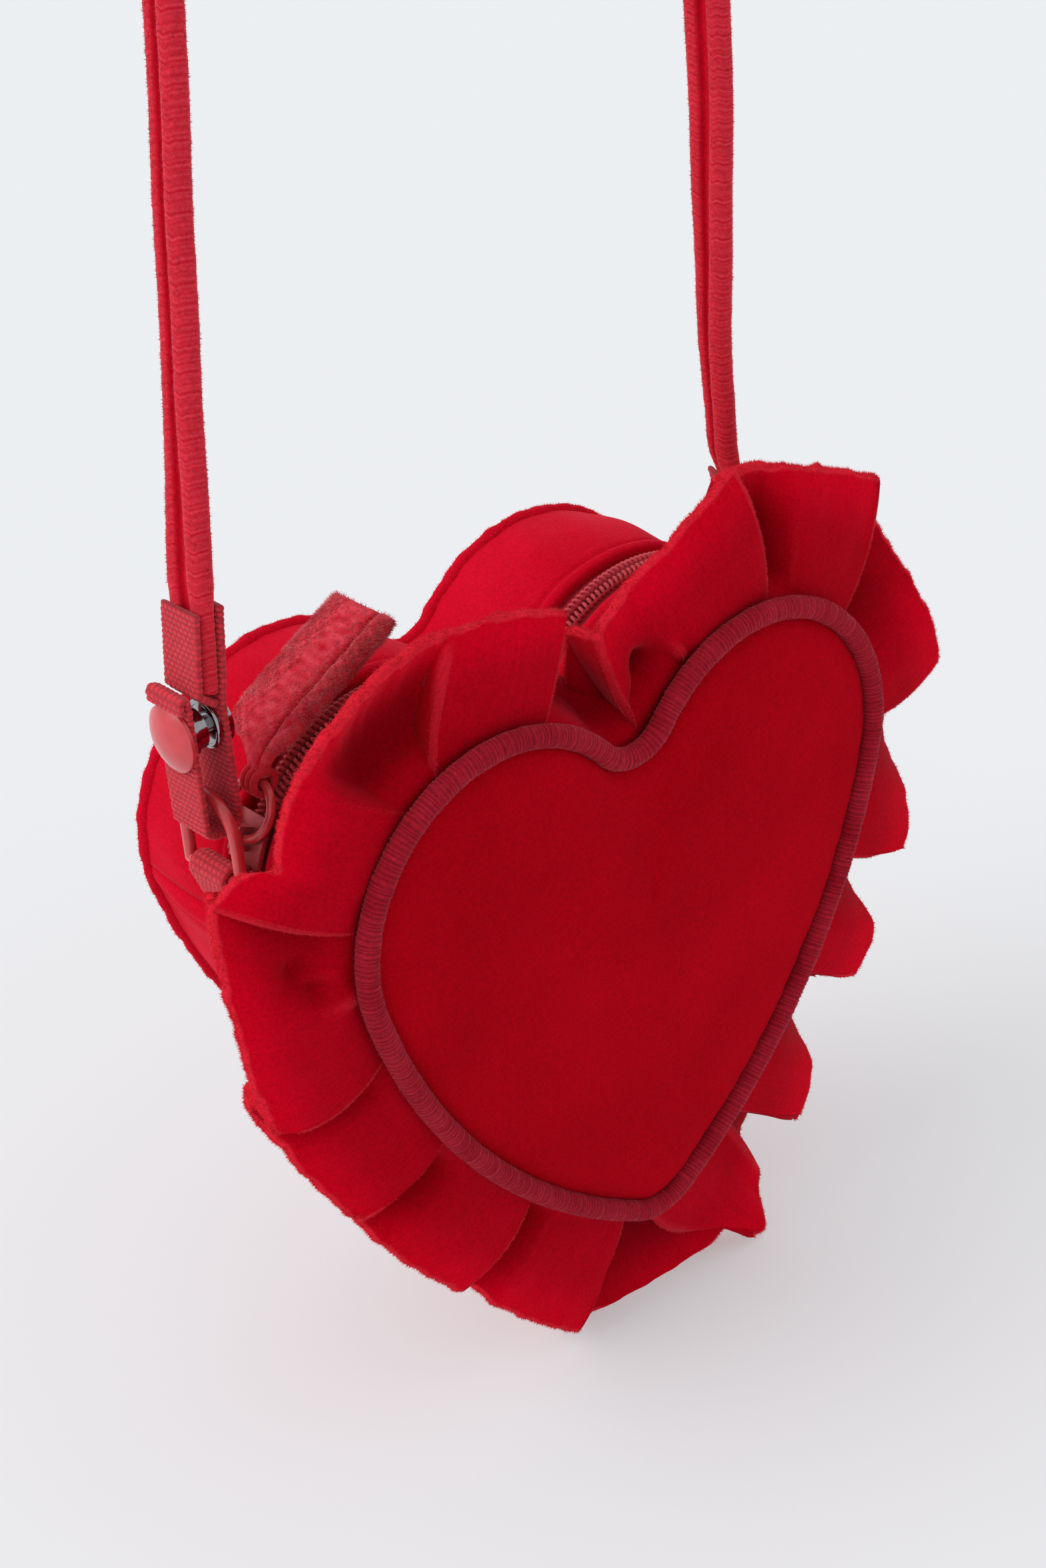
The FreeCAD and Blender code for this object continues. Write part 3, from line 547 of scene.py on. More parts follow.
# Folds of the ruffle from the cleft round the left lobe, the tip and the right lobe. Each row has the share
# of the outline at the root, half way out and at the edge, the reach as a share of the ruffle's width, and
# the setback half way out and at the edge as shares of its depth. Where the shares of the outline run back,
# the cloth is tucked under a pleat.
RUFFLE_FOLD_SHARES = [
    (0.000, 0.000, 0.000, 0.20, 0.52, 0.70), (0.022, 0.021, 0.020, 0.24, 0.65, 0.85),
    (0.066, 0.065, 0.064, 0.55, 0.55, 0.60), (0.051, 0.051, 0.050, 0.68, -0.04, 0.00),
    (0.084, 0.078, 0.070, 0.66, -0.08, 0.08), (0.117, 0.104, 0.090, 0.70, -0.02, 0.12),
    (0.115, 0.102, 0.093, 0.71, 0.40, 0.14), (0.122, 0.112, 0.104, 0.73, 0.56, 0.16),
    (0.130, 0.130, 0.122, 0.73, 0.62, 0.14), (0.134, 0.142, 0.140, 0.72, 0.48, 0.14),
    (0.138, 0.149, 0.152, 0.71, -0.06, 0.10), (0.152, 0.159, 0.163, 0.68, -0.16, 0.06),
    (0.172, 0.173, 0.174, 0.58, -0.17, 0.03), (0.184, 0.181, 0.178, 0.80, -0.14, 0.16),
    (0.196, 0.191, 0.186, 0.92, -0.08, 0.32), (0.188, 0.186, 0.184, 0.93, 0.48, 0.42),
    (0.203, 0.201, 0.196, 0.88, 0.32, 0.24), (0.217, 0.214, 0.208, 0.83, 0.08, 0.12),
    (0.231, 0.229, 0.223, 0.78, -0.06, 0.06), (0.267, 0.274, 0.263, 0.82, 0.00, 0.00),
    (0.256, 0.257, 0.252, 0.74, 0.56, 0.52), (0.271, 0.273, 0.266, 0.77, 0.60, 0.66),
    (0.290, 0.292, 0.283, 0.79, 0.14, 0.20), (0.333, 0.338, 0.327, 0.75, 0.00, 0.00),
    (0.321, 0.321, 0.313, 0.72, 0.60, 0.66), (0.343, 0.348, 0.337, 0.73, 0.58, 0.60),
    (0.362, 0.364, 0.356, 0.78, 0.12, 0.20), (0.409, 0.415, 0.405, 0.82, 0.00, 0.00),
    (0.397, 0.398, 0.394, 0.80, 0.60, 0.66), (0.420, 0.428, 0.422, 0.81, 0.58, 0.56),
    (0.438, 0.440, 0.436, 0.88, 0.12, 0.18), (0.484, 0.485, 0.483, 1.03, 0.00, 0.00),
    (0.474, 0.474, 0.475, 1.00, 0.55, 0.50), (0.489, 0.490, 0.490, 1.05, 0.70, 0.40),
    (0.501, 0.502, 0.504, 1.10, 0.62, 0.24), (0.520, 0.520, 0.518, 1.22, 0.62, 0.20),
    (0.534, 0.532, 0.526, 1.24, 0.60, 0.14), (0.496, 0.512, 0.526, 1.28, -0.03, -0.28),
    (0.528, 0.530, 0.531, 1.37, 0.02, -0.24), (0.545, 0.544, 0.540, 1.25, 0.14, -0.02),
    (0.556, 0.553, 0.547, 1.08, 0.02, 0.02), (0.563, 0.561, 0.557, 0.98, 0.50, 0.60),
    (0.580, 0.585, 0.590, 0.98, 0.60, 0.74), (0.562, 0.568, 0.577, 1.14, 0.00, 0.00),
    (0.588, 0.590, 0.596, 1.05, 0.02, 0.12), (0.618, 0.617, 0.616, 0.98, 0.60, 0.88),
    (0.652, 0.653, 0.656, 0.92, 0.60, 0.78), (0.639, 0.638, 0.643, 0.92, 0.00, 0.00),
    (0.656, 0.657, 0.661, 1.03, 0.02, 0.12), (0.690, 0.686, 0.682, 0.90, 0.60, 0.88),
    (0.712, 0.711, 0.712, 0.92, 0.60, 0.78), (0.700, 0.697, 0.699, 0.94, 0.00, 0.00),
    (0.718, 0.714, 0.713, 0.99, 0.02, 0.12), (0.760, 0.754, 0.748, 0.90, 0.60, 0.88),
    (0.785, 0.785, 0.790, 0.84, 0.60, 0.72), (0.768, 0.769, 0.778, 0.90, 0.00, 0.00),
    (0.782, 0.783, 0.788, 0.88, -0.02, 0.04), (0.808, 0.808, 0.810, 0.86, 0.52, 0.46),
    (0.825, 0.826, 0.828, 0.86, 0.80, 0.66), (0.850, 0.853, 0.858, 0.87, 0.82, 0.74),
    (0.834, 0.840, 0.851, 0.97, 0.00, 0.00), (0.866, 0.869, 0.875, 0.86, -0.03, 0.05),
    (0.876, 0.879, 0.885, 0.86, 0.02, 0.08), (0.886, 0.890, 0.896, 0.88, 0.66, 0.26),
    (0.905, 0.908, 0.909, 0.84, 0.80, 0.34), (0.896, 0.902, 0.911, 0.96, -0.04, 0.00),
    (0.922, 0.923, 0.924, 0.79, -0.15, 0.00), (0.942, 0.942, 0.942, 0.69, -0.16, 0.02),
    (0.953, 0.953, 0.952, 0.69, -0.06, 0.04), (0.972, 0.967, 0.962, 0.69, 0.06, 0.04),
    (0.994, 0.982, 0.971, 0.68, 0.00, 0.00), (0.985, 0.980, 0.973, 0.60, 0.60, 0.60),
]

# Hollows pressed into the ruffle beside its pinched pleats, and the pinches that stand out: share of the
# outline, share of the way out, half widths as the same shares, and depth as a share of the ruffle's depth
RUFFLE_HOLLOW_SHARES = [
    (0.2120, 0.42, 0.0060, 0.18, 0.28), (0.2210, 0.30, 0.0045, 0.13, 0.28),
    (0.2135, 0.18, 0.0060, 0.12, -0.10), (0.2255, 0.16, 0.0040, 0.14, -0.14),
    (0.966, 0.26, 0.0070, 0.20, 0.62), (0.978, 0.14, 0.0080, 0.14, 0.40),
    (0.9545, 0.22, 0.0030, 0.12, -0.12),
]
RUFFLE_HOLLOW_LEAN = 0.65
RUFFLE_CLEAR_OUT = (-2.2, 2.4)
# Painted shade where the ruffle is set back in its tucks and by its seam under the piping, and painted
# highlight towards its edge
RUFFLE_DARK_SHARE = 0.4
RUFFLE_DARK_SETBACKS = (1.5, 9.5)
RUFFLE_SEAM_DARK_SHARE = 0.12
RUFFLE_SEAM_SHARES = (0.07, 0.17)
RUFFLE_EDGE_HIGHLIGHT = 1.45
RUFFLE_EDGE_SHARES = (0.55, 1.0)
RUFFLE_RIDGE_BENDS = (0.2, 1.2)
RUFFLE_LEAST_STEP = 0.05
RUFFLE_EDGE_WAVE = 0.35
RUFFLE_RIPPLE = 0.3
RUFFLE_RIPPLE_SLANT = 6.0
# Painted sheen: shares of the pale frost colour on the ruffle's ridges and folded edge
RIDGE_SHEEN_SHARE = 0.18
EDGE_SHEEN_SHARE = 0.25
RUFFLE_TUFTS = 34000
RUFFLE_TUFT = (0.7, 0.13)
RUFFLE_TUFT_SPREAD = 0.8
RIDGE_TUFTS = 14000
RIDGE_TUFT = (0.5, 0.12)


def eased(knots, values, at):
    """Values between the rows of a table that closes on itself, smooth and without overshoot."""
    span = np.diff(knots)
    rise = np.diff(values) / span
    before = np.roll(rise, 1)
    level = before * rise <= 0
    slope = np.where(level, 0.0, 2 * before * rise / np.where(level, 1.0, before + rise))
    slope = np.append(slope, slope[0])
    k = np.clip(np.searchsorted(knots, at, side="right") - 1, 0, len(span) - 1)
    u = (at - knots[k]) / span[k]
    start = (1 + 2 * u) * (1 - u) ** 2 * values[k] + u ** 2 * (3 - 2 * u) * values[k + 1]
    return start + span[k] * (u * (1 - u) ** 2 * slope[k] - u ** 2 * (1 - u) * slope[k + 1])


def half_way(t, root, middle, edge):
    """Curve through values at the root, half way out and at the edge."""
    return root * (1 - t) * (1 - 2 * t) + middle * 4 * t * (1 - t) + edge * t * (2 * t - 1)


def ruffle_middle():
    """Grid of points through the middle of the ruffle's cloth, with places round it, widths and its painted
    light: shade in tucks and by the seam, a highlight towards the edge.
    """
    table = np.array(RUFFLE_FOLD_SHARES)
    table = np.vstack([table, table[:1] + [1, 1, 1, 0, 0, 0]])
    edge, _ = heart(table[:, 2], table[:, 3] * RUFFLE_WIDTH)
    knots = run_along(in_space(edge, table[:, 5] * RUFFLE_DEPTH))
    at = np.linspace(0, knots[-1], RUFFLE_STATIONS, endpoint=False)
    root, between, outer, reach, middle, back = (eased(knots, table[:, k], at)[:, None] for k in range(6))
    t = np.linspace(0, 1, RUFFLE_ROWS)[None, :]
    shares = half_way(t, root, between, outer)
    width = reach * RUFFLE_WIDTH + RUFFLE_EDGE_WAVE * waves(at, [7.3, 11.9, 4.1], 3)[:, None]
    out = (width + RUFFLE_ROOT_IN) * t - RUFFLE_ROOT_IN
    leaning = t ** RUFFLE_HOLLOW_LEAN
    setback = 4 * middle * leaning * (1 - leaning) + back * t * np.maximum(2 * t - 1, 0)
    for share, out_share, half_round, half_out, depth_share in RUFFLE_HOLLOW_SHARES:
        setback += depth_share * bump(shares, share, half_round) * bump(t, out_share, half_out)
    setback *= np.where(setback > 0, ramp(out, *RUFFLE_CLEAR_OUT), 1.0)
    xz, _ = heart(shares, out)
    ripple = RUFFLE_RIPPLE * t * waves(at[:, None] + RUFFLE_RIPPLE_SLANT * t, [9.1, 14.3, 23.0], 5)
    behind = RUFFLE_DEPTH * setback
    # Painted shade where the cloth is set back and by the seam, and a painted highlight towards the edge
    painted_light = 1 - RUFFLE_DARK_SHARE * ramp(behind, *RUFFLE_DARK_SETBACKS)
    painted_light *= 1 - RUFFLE_SEAM_DARK_SHARE * (1 - ramp(t, *RUFFLE_SEAM_SHARES))
    painted_light *= 1 + (RUFFLE_EDGE_HIGHLIGHT - 1) * ramp(t, *RUFFLE_EDGE_SHARES)
    return in_space(xz, RUFFLE_Y + RUFFLE_LEAN * t + behind + ripple), at, width, painted_light


def painted_ridge_sheen(grid, backward):
    """Painted sheen, from 0 to 1, where the ruffle's cloth bends away from its front."""
    step = closed_steps(grid)
    length = np.maximum(np.linalg.norm(step, axis=2), RUFFLE_LEAST_STEP)
    bend = -np.sum(closed_steps(backward) * step, axis=2) / length ** 2
    bend = (np.roll(bend, -1, 0) + bend + np.roll(bend, 1, 0)) / 3
    return ramp(bend, *RUFFLE_RIDGE_BENDS)


def ruffle():
    """Closed double cloth round its middle, thicker at the folded edge, with its painted shade and highlight
    and painted sheen on its ridges and edge.
    """
    grid, at, width, painted_light = ruffle_middle()
    out_way = np.gradient(grid, axis=1)
    backward = unit(np.cross(closed_steps(grid), out_way))
    out_way = unit(out_way)
    t = np.linspace(0, 1, RUFFLE_ROWS)
    half = between(RUFFLE_HALF_ROOT, RUFFLE_HALF_EDGE, t[None, :, None])
    turns = np.linspace(-math.pi / 2, math.pi / 2, RUFFLE_EDGE_STEPS + 2)[1:-1]
    cap = [grid[:, -1] + RUFFLE_HALF_EDGE * (out_way[:, -1] * math.cos(a) + backward[:, -1] * math.sin(a))
           for a in turns]
    front, back = grid - half * backward, (grid + half * backward)[:, ::-1]
    ring = np.concatenate([front, np.stack(cap, 1), back], 1)
    rows, columns = ring.shape[:2]
    out = np.concatenate([t, np.ones(RUFFLE_EDGE_STEPS), t[::-1]])
    coords = np.stack(np.broadcast_arrays(at[:, None], width * out[None, :]), -1)
    rim = np.ones((rows, RUFFLE_EDGE_STEPS))
    frost_and_sheen = painted_ridge_sheen(grid, backward)
    # Painted highlight and painted sheen on the folded edge, painted sheen on the ridges; the back face
    # stays plain
    tones = np.concatenate([painted_light, RUFFLE_EDGE_HIGHLIGHT * rim, 0 * painted_light + 1], 1)
    painted_sheens = np.concatenate([RIDGE_SHEEN_SHARE * frost_and_sheen, EDGE_SHEEN_SHARE * rim, 0 * painted_light], 1)
    made = piece("ruffle_velvet", ring, grid_faces(rows, columns, True, True), "velvet_ruffle", "bag",
                 coords=coords, shade=tones, frost_and_sheen=painted_sheens)
    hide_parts("ruffle")
    return made, grid, out_way, backward, frost_and_sheen


# Front, back and piping

PLATE_STEPS = 420
PLATE_RINGS = 46
PLATE_MIDDLE = (0.0, -14.0)
PLATE_CROWDING = 1.6

# Pads: rolls and crowns have a height and the distance from the edge in which they rise
FRONT_INSET = 4.4
FRONT_BASE_Y = -29.4
FRONT_ROLL = (1.9, 2.4)
FRONT_CROWN = (2.5, 24.0)
FRONT_WAVE = 0.18
FRONT_PUCKER = 0.16
FRONT_PUCKER_REACH = 5.0
BACK_INSET = 2.2
BACK_BASE_Y = 24.6
BACK_RIM = 1.4
BACK_ROLL = (1.6, 2.0)
BACK_CROWN = 1.3
BACK_CROWN_REACH = 26.0
BACK_WAVE = 0.3


def heart_plate(name, inset, depth, back_y, slot, swap=False):
    """Closed heart-shaped pad: rings from its edge to its middle, with depth(points, from_edge) its face."""
    edge, _ = heart(np.linspace(0, 1, PLATE_STEPS, endpoint=False), -inset)
    spread = (1 - np.linspace(0, 1, PLATE_RINGS, endpoint=False) ** PLATE_CROWDING)[:, None, None]
    middle = np.array([PLATE_MIDDLE])
    xz = middle + (edge - middle)[None] * spread
    from_edge = np.linalg.norm(xz - edge[None], axis=2)
    face = in_space(xz, depth(xz, from_edge))
    top = in_space(middle, depth(middle, np.array([LOBE_RADIUS])))
    points = np.concatenate([in_space(edge, back_y), face.reshape(-1, 3), top, in_space(middle, back_y)])
    faces = grid_faces(PLATE_RINGS + 1, PLATE_STEPS, False, True)
    last, top_at, base_at = PLATE_RINGS * PLATE_STEPS, len(points) - 2, len(points) - 1
    for k in range(PLATE_STEPS):
        after = (k + 1) % PLATE_STEPS
        faces.append([last + k, last + after, top_at])
        faces.append([after, k, base_at])
    if swap:
        faces = [face[::-1] for face in faces]
    return piece(name, points, faces, slot, "bag", coords=points[:, [0, 2]])


def risen(from_edge, height, reach):
    """Height that a pad has got to at a distance from its edge."""
    return height * (1 - np.exp(-from_edge / reach))


def front_depth(xz, from_edge):
    """Depth of the padded front: it rolls over from the piping, crowns and has faint waves and puckers."""
    wave = FRONT_WAVE * waves(xz[..., 0] + 0.6 * xz[..., 1], [23.0, 37.0, 61.0], 11)
    turn = np.degrees(np.arctan2(xz[..., 1] - PLATE_MIDDLE[1], xz[..., 0] - PLATE_MIDDLE[0]))
    fading = FRONT_PUCKER * np.exp(-from_edge / FRONT_PUCKER_REACH)
    pucker = fading * waves(turn, [4.0, 7.2, 10.3], 12)
    return PANEL_RIM_Y - risen(from_edge, *FRONT_ROLL) - risen(from_edge, *FRONT_CROWN) - wave - pucker


def front_panel():
    made = heart_plate("front_panel_velvet", FRONT_INSET, front_depth, FRONT_BASE_Y, "velvet_panel")
    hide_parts("front_panel", "front_padding")


def back_depth(xz, from_edge):
    """Depth of the back, lightly padded and a little uneven."""
    wave = BACK_WAVE * waves(xz[..., 0] - 0.4 * xz[..., 1], [29.0, 43.0, 71.0], 14)
    crown = risen(from_edge, BACK_CROWN + wave, BACK_CROWN_REACH)
    return BACK_Y - BACK_RIM + risen(from_edge, *BACK_ROLL) + crown


def back_panel():
    made = heart_plate("back_panel_velvet", BACK_INSET, back_depth, BACK_BASE_Y, "velvet_body", True)
    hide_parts("back_panel", "back_padding")


PIPING_RIBS = 470
PIPING_STEPS = 8
PIPING_SIDES = 18
PIPING_SHOWN_RADIUS = 2.15
PIPING_CENTRE_IN = 2.75
PIPING_RIB = 0.11
PIPING_RIB_SHARES = (0.6, 0.4)
PIPING_UNEVEN = 0.07
PIPING_SLANT = 0.12
PIPING_JITTER = 0.45
PIPING_PAINTED_LIGHT = (0.86, 0.3)
PIPING_TUFTS = 22000
PIPING_TUFT = (0.42, 0.11)


def piping():
    """Cord covered in gathered velvet, with fine uneven ribs across it, painted shade in the grooves between
    them and painted highlight on their crowns.
    """
    count = PIPING_RIBS * PIPING_STEPS
    shares = np.arange(count) / count
    centre, outward = heart(shares, -PIPING_CENTRE_IN)
    way = (shares * OUTLINE)[:, None]
    turn = full_turn(PIPING_SIDES)[None, :]
    slant = PIPING_SLANT * np.sin(turn) + PIPING_JITTER * waves(way, [2.3, 3.7, 5.9], 21)
    rib = np.cos(2 * math.pi * (np.arange(count)[:, None] / PIPING_STEPS + slant))
    mean, change = PIPING_RIB_SHARES
    strength = mean + change * waves(way + 2 * np.sin(turn), [3.1, 5.9, 1.9], 22)
    uneven = PIPING_UNEVEN * waves(way, [6.1, 11.0, 17.0], 23)
    radius = PIPING_SHOWN_RADIUS + PIPING_RIB * strength * rib + uneven
    xz = centre[:, None] + outward[:, None] * (radius * np.cos(turn))[..., None]
    points = in_space(xz, PIPING_Y + radius * np.sin(turn))
    # Painted shade between the ribs and painted highlight on their crowns
    made = piece("piping_velvet", points, grid_faces(count, PIPING_SIDES, True, True), "piping", "bag",
                 "velvet_panel", shade=PIPING_PAINTED_LIGHT[0] + PIPING_PAINTED_LIGHT[1] * strength * rib)
    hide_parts("piping_cover", "piping_core")
    grid_pile("piping_pile", points, PIPING_TUFTS, PIPING_TUFT, "piping", "velvet_panel", "bag")


# Gusset and zip

BAND_STEP = 0.9
ZIP_SPAN = (-SEAM_SHARE, SEAM_SHARE)
STRIP_STEPS = {"front": 40, "back": 46}
LOWER_STEPS = 70

# Seam rolls and grooves: height, place and half width, from the seam or from the zip
SEAM_ROLL = (1.7, 2.6, 2.0)
SEAM_GROOVE = (0.8, 6.2, 1.3)
LOWER_SUNK = 0.9
LOWER_FULL = 2.2
LOWER_SAGS = (0.5, 0.35)
STRIP_ROLL = (0.8, 1.3, 1.4)
STRIP_GROOVE = (0.7, 3.1, 0.55)
STRIP_SUNK = 0.2
STRIP_SWELL = 1.2
STRIP_SAG = 0.5


def band(name, start, end, y, out, thickness, slot, replaced):
    """Strip of cloth round the heart between two shares; out(way, y) is how far out its outside lies."""
    count = int((end - start) * OUTLINE / BAND_STEP)
    shares, y = np.meshgrid(np.linspace(start, end, count), y, indexing="ij")
    way = shares * OUTLINE
    outside = out(way, y)
    outer = in_space(heart(shares, outside)[0], y)
    inner = in_space(heart(shares, np.minimum(outside, GUSSET_OUT) - thickness)[0], y)
    ring, faces = shell_mesh(outer, inner)
    across = np.concatenate([y, y[:, ::-1]], 1)
    coords = np.stack(np.broadcast_arrays(way[:, :1], across), -1)
    made = piece(name, ring, faces, slot, "bag", coords=coords)
    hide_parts(replaced)


def lower_out(way, y):
    """Outside of the lower gusset: full between its seams, with a few soft sags."""
    share = (y - GUSSET_FRONT_Y) / (GUSSET_BACK_Y - GUSSET_FRONT_Y)
    full = np.sqrt(np.clip(np.sin(math.pi * share), 0, 1))
    sag = LOWER_SAGS[0] * waves(way + 0.3 * y, [31.0, 47.0, 19.0], 31)
    sag += LOWER_SAGS[1] * waves(y - 0.2 * way, [17.0, 25.0], 32)
    from_seam = np.minimum(way - SEAM_SHARE * OUTLINE, (1 - SEAM_SHARE) * OUTLINE - way)
    roll = ridge(from_seam, *SEAM_ROLL) - ridge(from_seam, *SEAM_GROOVE)
    return GUSSET_OUT - LOWER_SUNK + (LOWER_FULL + sag + roll) * full


def strip_out(way, y):
    """Outside of a strip beside the zip: a rolled edge by the zip, a stitched groove, then a soft swell."""
    from_zip = np.abs(y) - ZIP_EDGE
    height, place, half = STRIP_ROLL
    roll = height * np.sqrt(np.clip(1 - ((from_zip - place) / half) ** 2, 0, 1))
    far = np.where(y > 0, GUSSET_BACK_Y, -GUSSET_FRONT_Y)
    share = np.clip(from_zip / (far - ZIP_EDGE), 0, 1)
    full = STRIP_SWELL + STRIP_SAG * waves(way + 0.4 * y, [21.0, 34.0, 13.0], 33)
    return GUSSET_OUT - STRIP_SUNK + roll - ridge(from_zip, *STRIP_GROOVE) + full * np.sin(math.pi * share)


def gusset():
    """Velvet strips on both sides of the zip, and the lower gusset between their ends."""
    spans = {"front": (GUSSET_FRONT_Y, -ZIP_EDGE), "back": (ZIP_EDGE, GUSSET_BACK_Y)}
    for label, span in spans.items():
        strip_y = np.linspace(*span, STRIP_STEPS[label])
        band(f"zip_strip_{label}_velvet", *ZIP_SPAN, strip_y, strip_out, VELVET, "velvet_body",
             f"zip_strip_{label}")
    lower_y = np.linspace(GUSSET_FRONT_Y, GUSSET_BACK_Y, LOWER_STEPS)
    band("gusset_lower_velvet", SEAM_SHARE, 1 - SEAM_SHARE, lower_y, lower_out, VELVET, "velvet_body",
         "gusset_lower")


WELT_Y = 32.4
WELT_RADIUS = 1.4
WELT_IN = 2.4
WELT_SWAY = 0.25
WELT_UNEVEN = 0.2
WELT_STEPS = 900
WELT_SIDES = 12
WELT_TUFTS = 16000
WELT_TUFT = (0.6, 0.13)


def back_welt():
    """Raised seam where the gusset meets the back."""
    shares = np.arange(WELT_STEPS) / WELT_STEPS
    way = shares * OUTLINE
    centre, _ = heart(shares, -WELT_IN)
    path = in_space(centre, WELT_Y + WELT_SWAY * waves(way, [9.0, 15.0], 41))
    radius = WELT_RADIUS + WELT_UNEVEN * waves(way, [4.3, 7.1, 12.0], 42)
    points, faces = tube(path, radius, WELT_SIDES, True)
    piece("back_welt_velvet", points, faces, "velvet_body", "bag")
    grid_pile("back_welt_pile", points.reshape(WELT_STEPS, WELT_SIDES, 3), WELT_TUFTS, WELT_TUFT,
              "ruffle_fuzz", "velvet_body", "bag")


TAPE_HALF_GAP = 0.4
TAPE_EDGE = 11.5
TAPE_OUT = -3.85
TAPE = 0.5
TAPE_STEPS = 12
COIL_Y = 1.3
COIL_OUT = -2.75
COIL_HALF_WIDTH = 0.75
COIL_HALF_HEIGHT = 0.72
COIL_WIRE = 0.36
COIL_PITCH = 1.3
COIL_STEPS = 10
COIL_SIDES = 6
COIL_SPAN_SHARE = 0.965


def zip_tape(side, label):
    y = side * np.linspace(TAPE_HALF_GAP, TAPE_EDGE, TAPE_STEPS)
    band(f"zip_tape_{label}_cloth", *ZIP_SPAN, np.sort(y), lambda way, y: TAPE_OUT + 0 * y, TAPE, "zip_tape",
         f"zip_tape_{label}")


def zip_coil(side, label):
    """Nylon coil sewn to the tape's edge: a flat helix along the outline."""
    reach_share = SEAM_SHARE * COIL_SPAN_SHARE
    turns = int(reach_share * 2 * OUTLINE / COIL_PITCH)
    at = np.linspace(0, turns, turns * COIL_STEPS)
    turn = 2 * math.pi * at
    xz, _ = heart(reach_share * (2 * at / turns - 1), COIL_OUT + COIL_HALF_HEIGHT * np.sin(turn))
    path = in_space(xz, side * (COIL_Y - COIL_HALF_WIDTH * np.cos(turn)))
    points, faces = tube(path, COIL_WIRE, COIL_SIDES)
    made = piece(f"zip_coil_{label}_helix", points, faces, "zip_coil", "bag")
    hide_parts(f"zip_coil_{label}")


# Linings, inside the closed purse. Levels: a lining's face on the padding, then its other face

LINING = 0.4
LINING_INSET = 5.3
LINING_OUT = -4.5
LINING_STEPS = 8
LINING_EDGE_Y = 24.0
FRONT_LINING_Y = (-29.35, -28.9)
BACK_LINING_Y = (24.5, 24.1)


def flat_lining(name, levels, swap=False):
    outer_y, inner_y = levels
    return heart_plate(name, LINING_INSET, lambda xz, edge: outer_y + 0 * edge, inner_y, "lining", swap)


def linings():
    edge_y = np.linspace(GUSSET_FRONT_Y, LINING_EDGE_Y, LINING_STEPS)
    band("gusset_lining_cloth", 0.0, 1.0, edge_y, lambda way, y: LINING_OUT + 0 * y, LINING, "lining",
         "gusset_lining")
    front = flat_lining("front_lining_cloth", FRONT_LINING_Y)
    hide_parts("front_lining")
    back = flat_lining("back_lining_cloth", BACK_LINING_Y, True)
    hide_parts("back_lining")


# Pull tab

def polar(angle, length):
    """Step (x, z) at an angle from +X, in degrees."""
    return np.array([math.cos(math.radians(angle)), math.sin(math.radians(angle))]) * length


TAB_LOOP = 2.3
TAB_LOOP_WIRE = 0.68
TAB_LOOP_STEPS = 28
TAB_LOOP_SIDES = 8
TAB_LOOP_SHIFTS = (-1.5, 0.0, 1.5)
TAB_LOOP_FROST = 0.4
TAB_START = 1.2
TAB_SOFT = (5.0, 6.0)
TAB_STEPS = (24, 90)
TAB_GROWTH = (1.0, 9.5)
TAB_NECK_THICK = 1.3
TAB_END_ROUND = 1.6
TAB_NECK = (80.0, 7.6)
TAB_BODY = (28.0, 31.0)
TAB_NECK_HALF = 2.2
TAB_HALF = 8.0
TAB_SHIFT = 2.0
TAB_HALF_THICK = 1.5
TAB_SIDES = 72
TAB_ROLL = (0.55, -0.84, 0.17)
TAB_GROOVE = (-0.6, 0.07)
TAB_GROOVE_DEPTH = 0.5
TAB_CRUSH = (0.16, 0.12)
TAB_EDGE_SHARES = (0.985, 0.02)
# Painted light on the tab: plain level, painted shade in its stitched groove, painted highlight on crushed
# crowns; then its frost: a share for its crushed pile, more on the crowns as painted sheen, less in the
# groove
TAB_PAINTED_LIGHT = (1.05, 0.55, 0.9)
TAB_FROSTS = (0.55, 2.2, 1.2)
TAB_PILE_FROM = 10
TAB_TUFTS = 16000
TAB_TUFT = (0.85, 0.14)


def tab_path():
    """Middle line (x, z) of the pull tab from ring to end, rounded at its bend, and the ring's place."""
    eye_m = joints["pull_tab_turn"]["pos_m"]
    eye = np.array([eye_m[0], eye_m[2]]) / MM - heart_origin[[0, 2]]
    bend = eye + polar(*TAB_NECK)
    end = bend + polar(*TAB_BODY)
    start = eye + polar(TAB_NECK[0], TAB_START)
    soft_start = bend - polar(TAB_NECK[0], TAB_SOFT[0])
    soft_end = bend + polar(TAB_BODY[0], TAB_SOFT[1])
    u = np.linspace(0, 1, TAB_STEPS[0])[:, None]
    curve = (1 - u) ** 2 * soft_start + 2 * u * (1 - u) * bend + u ** 2 * soft_end
    tail = soft_end + (end - soft_end) * np.linspace(0, 1, TAB_STEPS[1])[1:, None]
    return np.vstack([start, curve, tail]), eye


def tab_loops(eye):
    """Narrow loops of the tab's cloth round the pull ring."""
    around = full_turn(TAB_LOOP_STEPS)
    loop = np.stack([eye[0] + TAB_LOOP * np.cos(around), 0 * around, eye[1] + TAB_LOOP * np.sin(around)], -1)
    return [tube(loop + [0, shift, 0], TAB_LOOP_WIRE, TAB_LOOP_SIDES, True) for shift in TAB_LOOP_SHIFTS]


def squared(wave):
    """A sine or cosine made fuller, for a section between an ellipse and a rectangle."""
    return np.sign(wave) * np.abs(wave) ** 0.5


